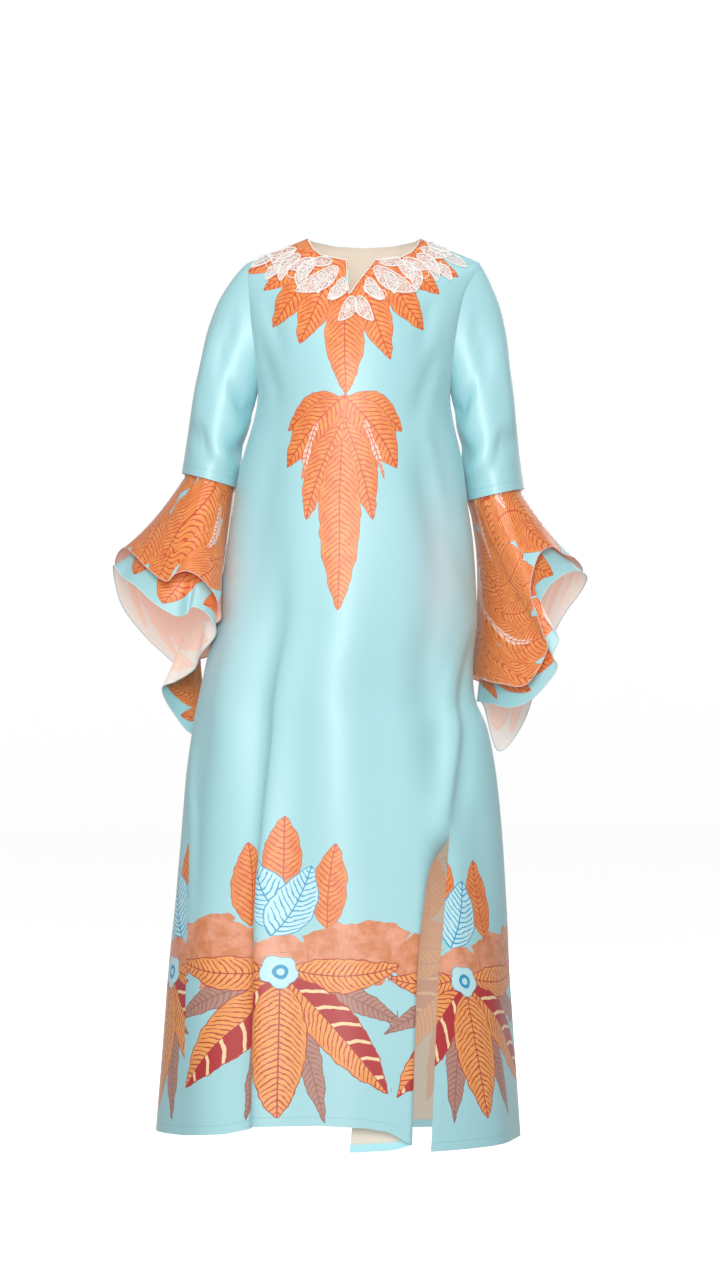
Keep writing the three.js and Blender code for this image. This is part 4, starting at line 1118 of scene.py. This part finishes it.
def layOn(tree, x, z, lift):
    # each x, z is moved back to the cloth and out again by the lift
    shape = np.shape(x)
    out = []
    for px, pz in zip(np.ravel(x), np.ravel(z)):
        hit, normal, _, _ = tree.ray_cast((px, -600.0, pz), (0, 1, 0))
        if hit is None:
            hit, normal, _, _ = tree.find_nearest((px, -40.0, pz))
        if normal.y > 0:
            normal = -normal
        out.append(tuple(hit + normal * lift))
    return np.array(out).reshape(shape + (3,))


def petalAt(petal, t, side):
    # t runs along the petal and side from -1 to 1 across it
    x, z, tilt, length, width, bend = petal
    half = width / 2 * np.sin(np.pi * np.clip(t, 0, 1) ** 0.8) ** 0.75
    u, v = t * length, side * half + bend * 4 * t * (1 - t)
    angle = math.radians(tilt)
    return x + u * math.sin(angle) + v * math.cos(angle), z - u * math.cos(angle) + v * math.sin(angle)


def laceMaterial(name, filled):
    # cotton thread: matt, off white; the net between is open, so its alpha is low
    material = plainMaterial(name, laceLook["white"], 0.65, 1400.0, 0.82, 0.5, 0.0003, 0.3)
    if filled:
        tree = material.node_tree
        calc, noise, ease, _ = makersFor(tree)
        wander = noise(addNode(tree, "ShaderNodeTexCoord").outputs["Object"], 210.0, 1.0)
        off = calc("ABSOLUTE", calc("SUBTRACT", wander, 0.5))
        alpha = ease(off, 0.035, 0.06, laceLook["threadDensity"], laceLook["netDensity"])
        tree.links.new(alpha.outputs[0], tree.nodes["Principled BSDF"].inputs["Alpha"])
    return material


def makeLace():
    tree, look = frontSurface(), laceLook
    lift, cordRadius, threadRadius = look["lift"], look["cord"], look["thread"]
    cords, threads, beads, patches = [], [], [], []
    petals = list(lacePetals)
    for x, z, tilt, length, width, bend in lacePetals:
        petals.append((-16 - x - 8 * (x < 60), z, -tilt, length, width, -bend))
    for petal in petals:
        # the cord runs down one side of the petal and back up the other, with beads on it
        t = (1 - np.cos(np.linspace(0, np.pi, 30))) / 2
        rim = [petalAt(petal, t, 1.0), petalAt(petal, t[::-1][1:-1], -1.0)]
        x, z = (np.concatenate([part[k] for part in rim]) for k in (0, 1))
        path = layOn(tree, x, z, lift + cordRadius)
        cords.append((path, cordRadius, True))
        at = np.concatenate([[0], np.cumsum(np.linalg.norm(np.diff(path, axis=0), axis=-1))])
        stops = np.arange(0, at[-1], look["beadStep"])
        beads.append(np.stack([np.interp(stops, at, path[:, k]) for k in range(3)], -1) + [0, -0.8, 0.2])
        # one thread swings from side to side, and a thicker one runs down the middle
        t = np.linspace(0.04, 0.94, int(petal[3] * 2.2))
        swing = 0.72 * np.sin(2 * np.pi * petal[3] / 6.5 * t + petal[0])
        threads.append((layOn(tree, *petalAt(petal, t, swing), lift + 0.4), threadRadius, False))
        threads.append((layOn(tree, *petalAt(petal, t, 0 * t), lift + 0.6), threadRadius * 1.4, False))
        side, along = np.meshgrid(np.linspace(-1, 1, 7), np.linspace(0.02, 0.98, 18), indexing="ij")
        patches.append(layOn(tree, *petalAt(petal, along, side), lift))
    scrolls = laceScrolls + [(-16 - x, z, r, 180 - b, 180 - a) for x, z, r, a, b in laceScrolls]
    for x, z, radius, first, last in scrolls:
        turn = np.radians(np.linspace(first, last, 26))
        spiral = radius * np.linspace(1, 0.55, 26)
        path = layOn(tree, x + spiral * np.cos(turn), z + spiral * np.sin(turn), lift + 0.8)
        cords.append((path, look["scrollCord"], False))
    # a cord along the neckline's edge, from one shoulder seam to the other
    column = np.linspace(9.02, 21.98, 240)
    edge = frontPoint(column, np.full_like(column, 0.06))
    outwards = np.array([tuple(tree.find_nearest(tuple(point))[1]) for point in edge])
    outwards *= np.where(outwards[:, 1:2] > 0, -1, 1)
    cords.append((edge + outwards * 1.1, look["rimCord"], False))
    cord = mergedTubes("lace_cord", cords, 6, laceMaterial("laceCotton", False))
    thread = mergedTubes("lace_thread", threads, 4, cord.data.materials[0])
    glass = plainMaterial("glassSeedBead", "#FFFFFF", 0.15)  # small clear glints on the cord
    bead = beadCloud("lace_beads", np.concatenate(beads), look["bead"], glass)
    # the net: a thin closed patch in each petal
    stack = np.stack(patches)
    shells = np.concatenate([stack, stack + [0, look["netWall"], 0]], 1)
    count = stack.shape[1] * stack.shape[2]
    index = np.arange(count).reshape(stack.shape[1:3])
    one = np.concatenate([gridQuads(index), gridQuads(index, True, count)])
    faces = (one[None] + (np.arange(len(stack)) * 2 * count)[:, None, None]).reshape(-1, 4)
    net = buildMesh("lace_net", shells.reshape(-1, 3), faces, [laceMaterial("embroideredNet", True)])
    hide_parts("neck_lace")
    area = sum(areaOf(patch, False) for patch in patches)


makeLace()
print("lace made")

# Floor


def makeFloor():
    # one round sheet: flat under the dress, then curving up all round, so that every side has it
    low, bend, radius = studio["floorZ"], studio["bend"], studio["radius"]
    turn = np.linspace(0, np.pi / 2, 13)
    profile = [(0.5 * radius, low)]
    profile += [(radius - bend + bend * math.sin(a), low + bend - bend * math.cos(a)) for a in turn]
    profile.append((radius, low + studio["height"]))
    around = studio["sides"]
    ways = [(math.cos(k * 2 * math.pi / around), math.sin(k * 2 * math.pi / around)) for k in range(around)]
    vertices = [(0, 0, low)] + [(r * x, r * y, z) for r, z in profile for x, y in ways]
    after = [(k + 1) % around for k in range(around)]
    faces = [(0, 1 + k, 1 + after[k]) for k in range(around)]
    for first in range(1, 1 + (len(profile) - 1) * around, around):
        above = first + around
        faces += [(first + k, above + k, above + after[k], first + after[k]) for k in range(around)]
    mesh = bpy.data.meshes.new("backdrop")
    mesh.from_pydata(vertices, [], faces)
    mesh.polygons.foreach_set("use_smooth", [True] * len(faces))
    floor = bpy.data.objects.new("backdrop", mesh)
    scene.collection.objects.link(floor)
    paper = plainMaterial("paleStudioPaper", "#F7F7F7", 0.9)  # matt seamless paper
    shader = paper.node_tree.nodes["Principled BSDF"]
    shader.inputs["Emission Color"].default_value = (1, 1, 1, 1)
    shader.inputs["Emission Strength"].default_value = studio["backdropGlow"]
    mesh.materials.append(paper)
    # it shows to the camera alone, so that the lamps shape the cloth
    floor.visible_diffuse = False
    floor.visible_glossy = False


makeFloor()

print("dress finished")
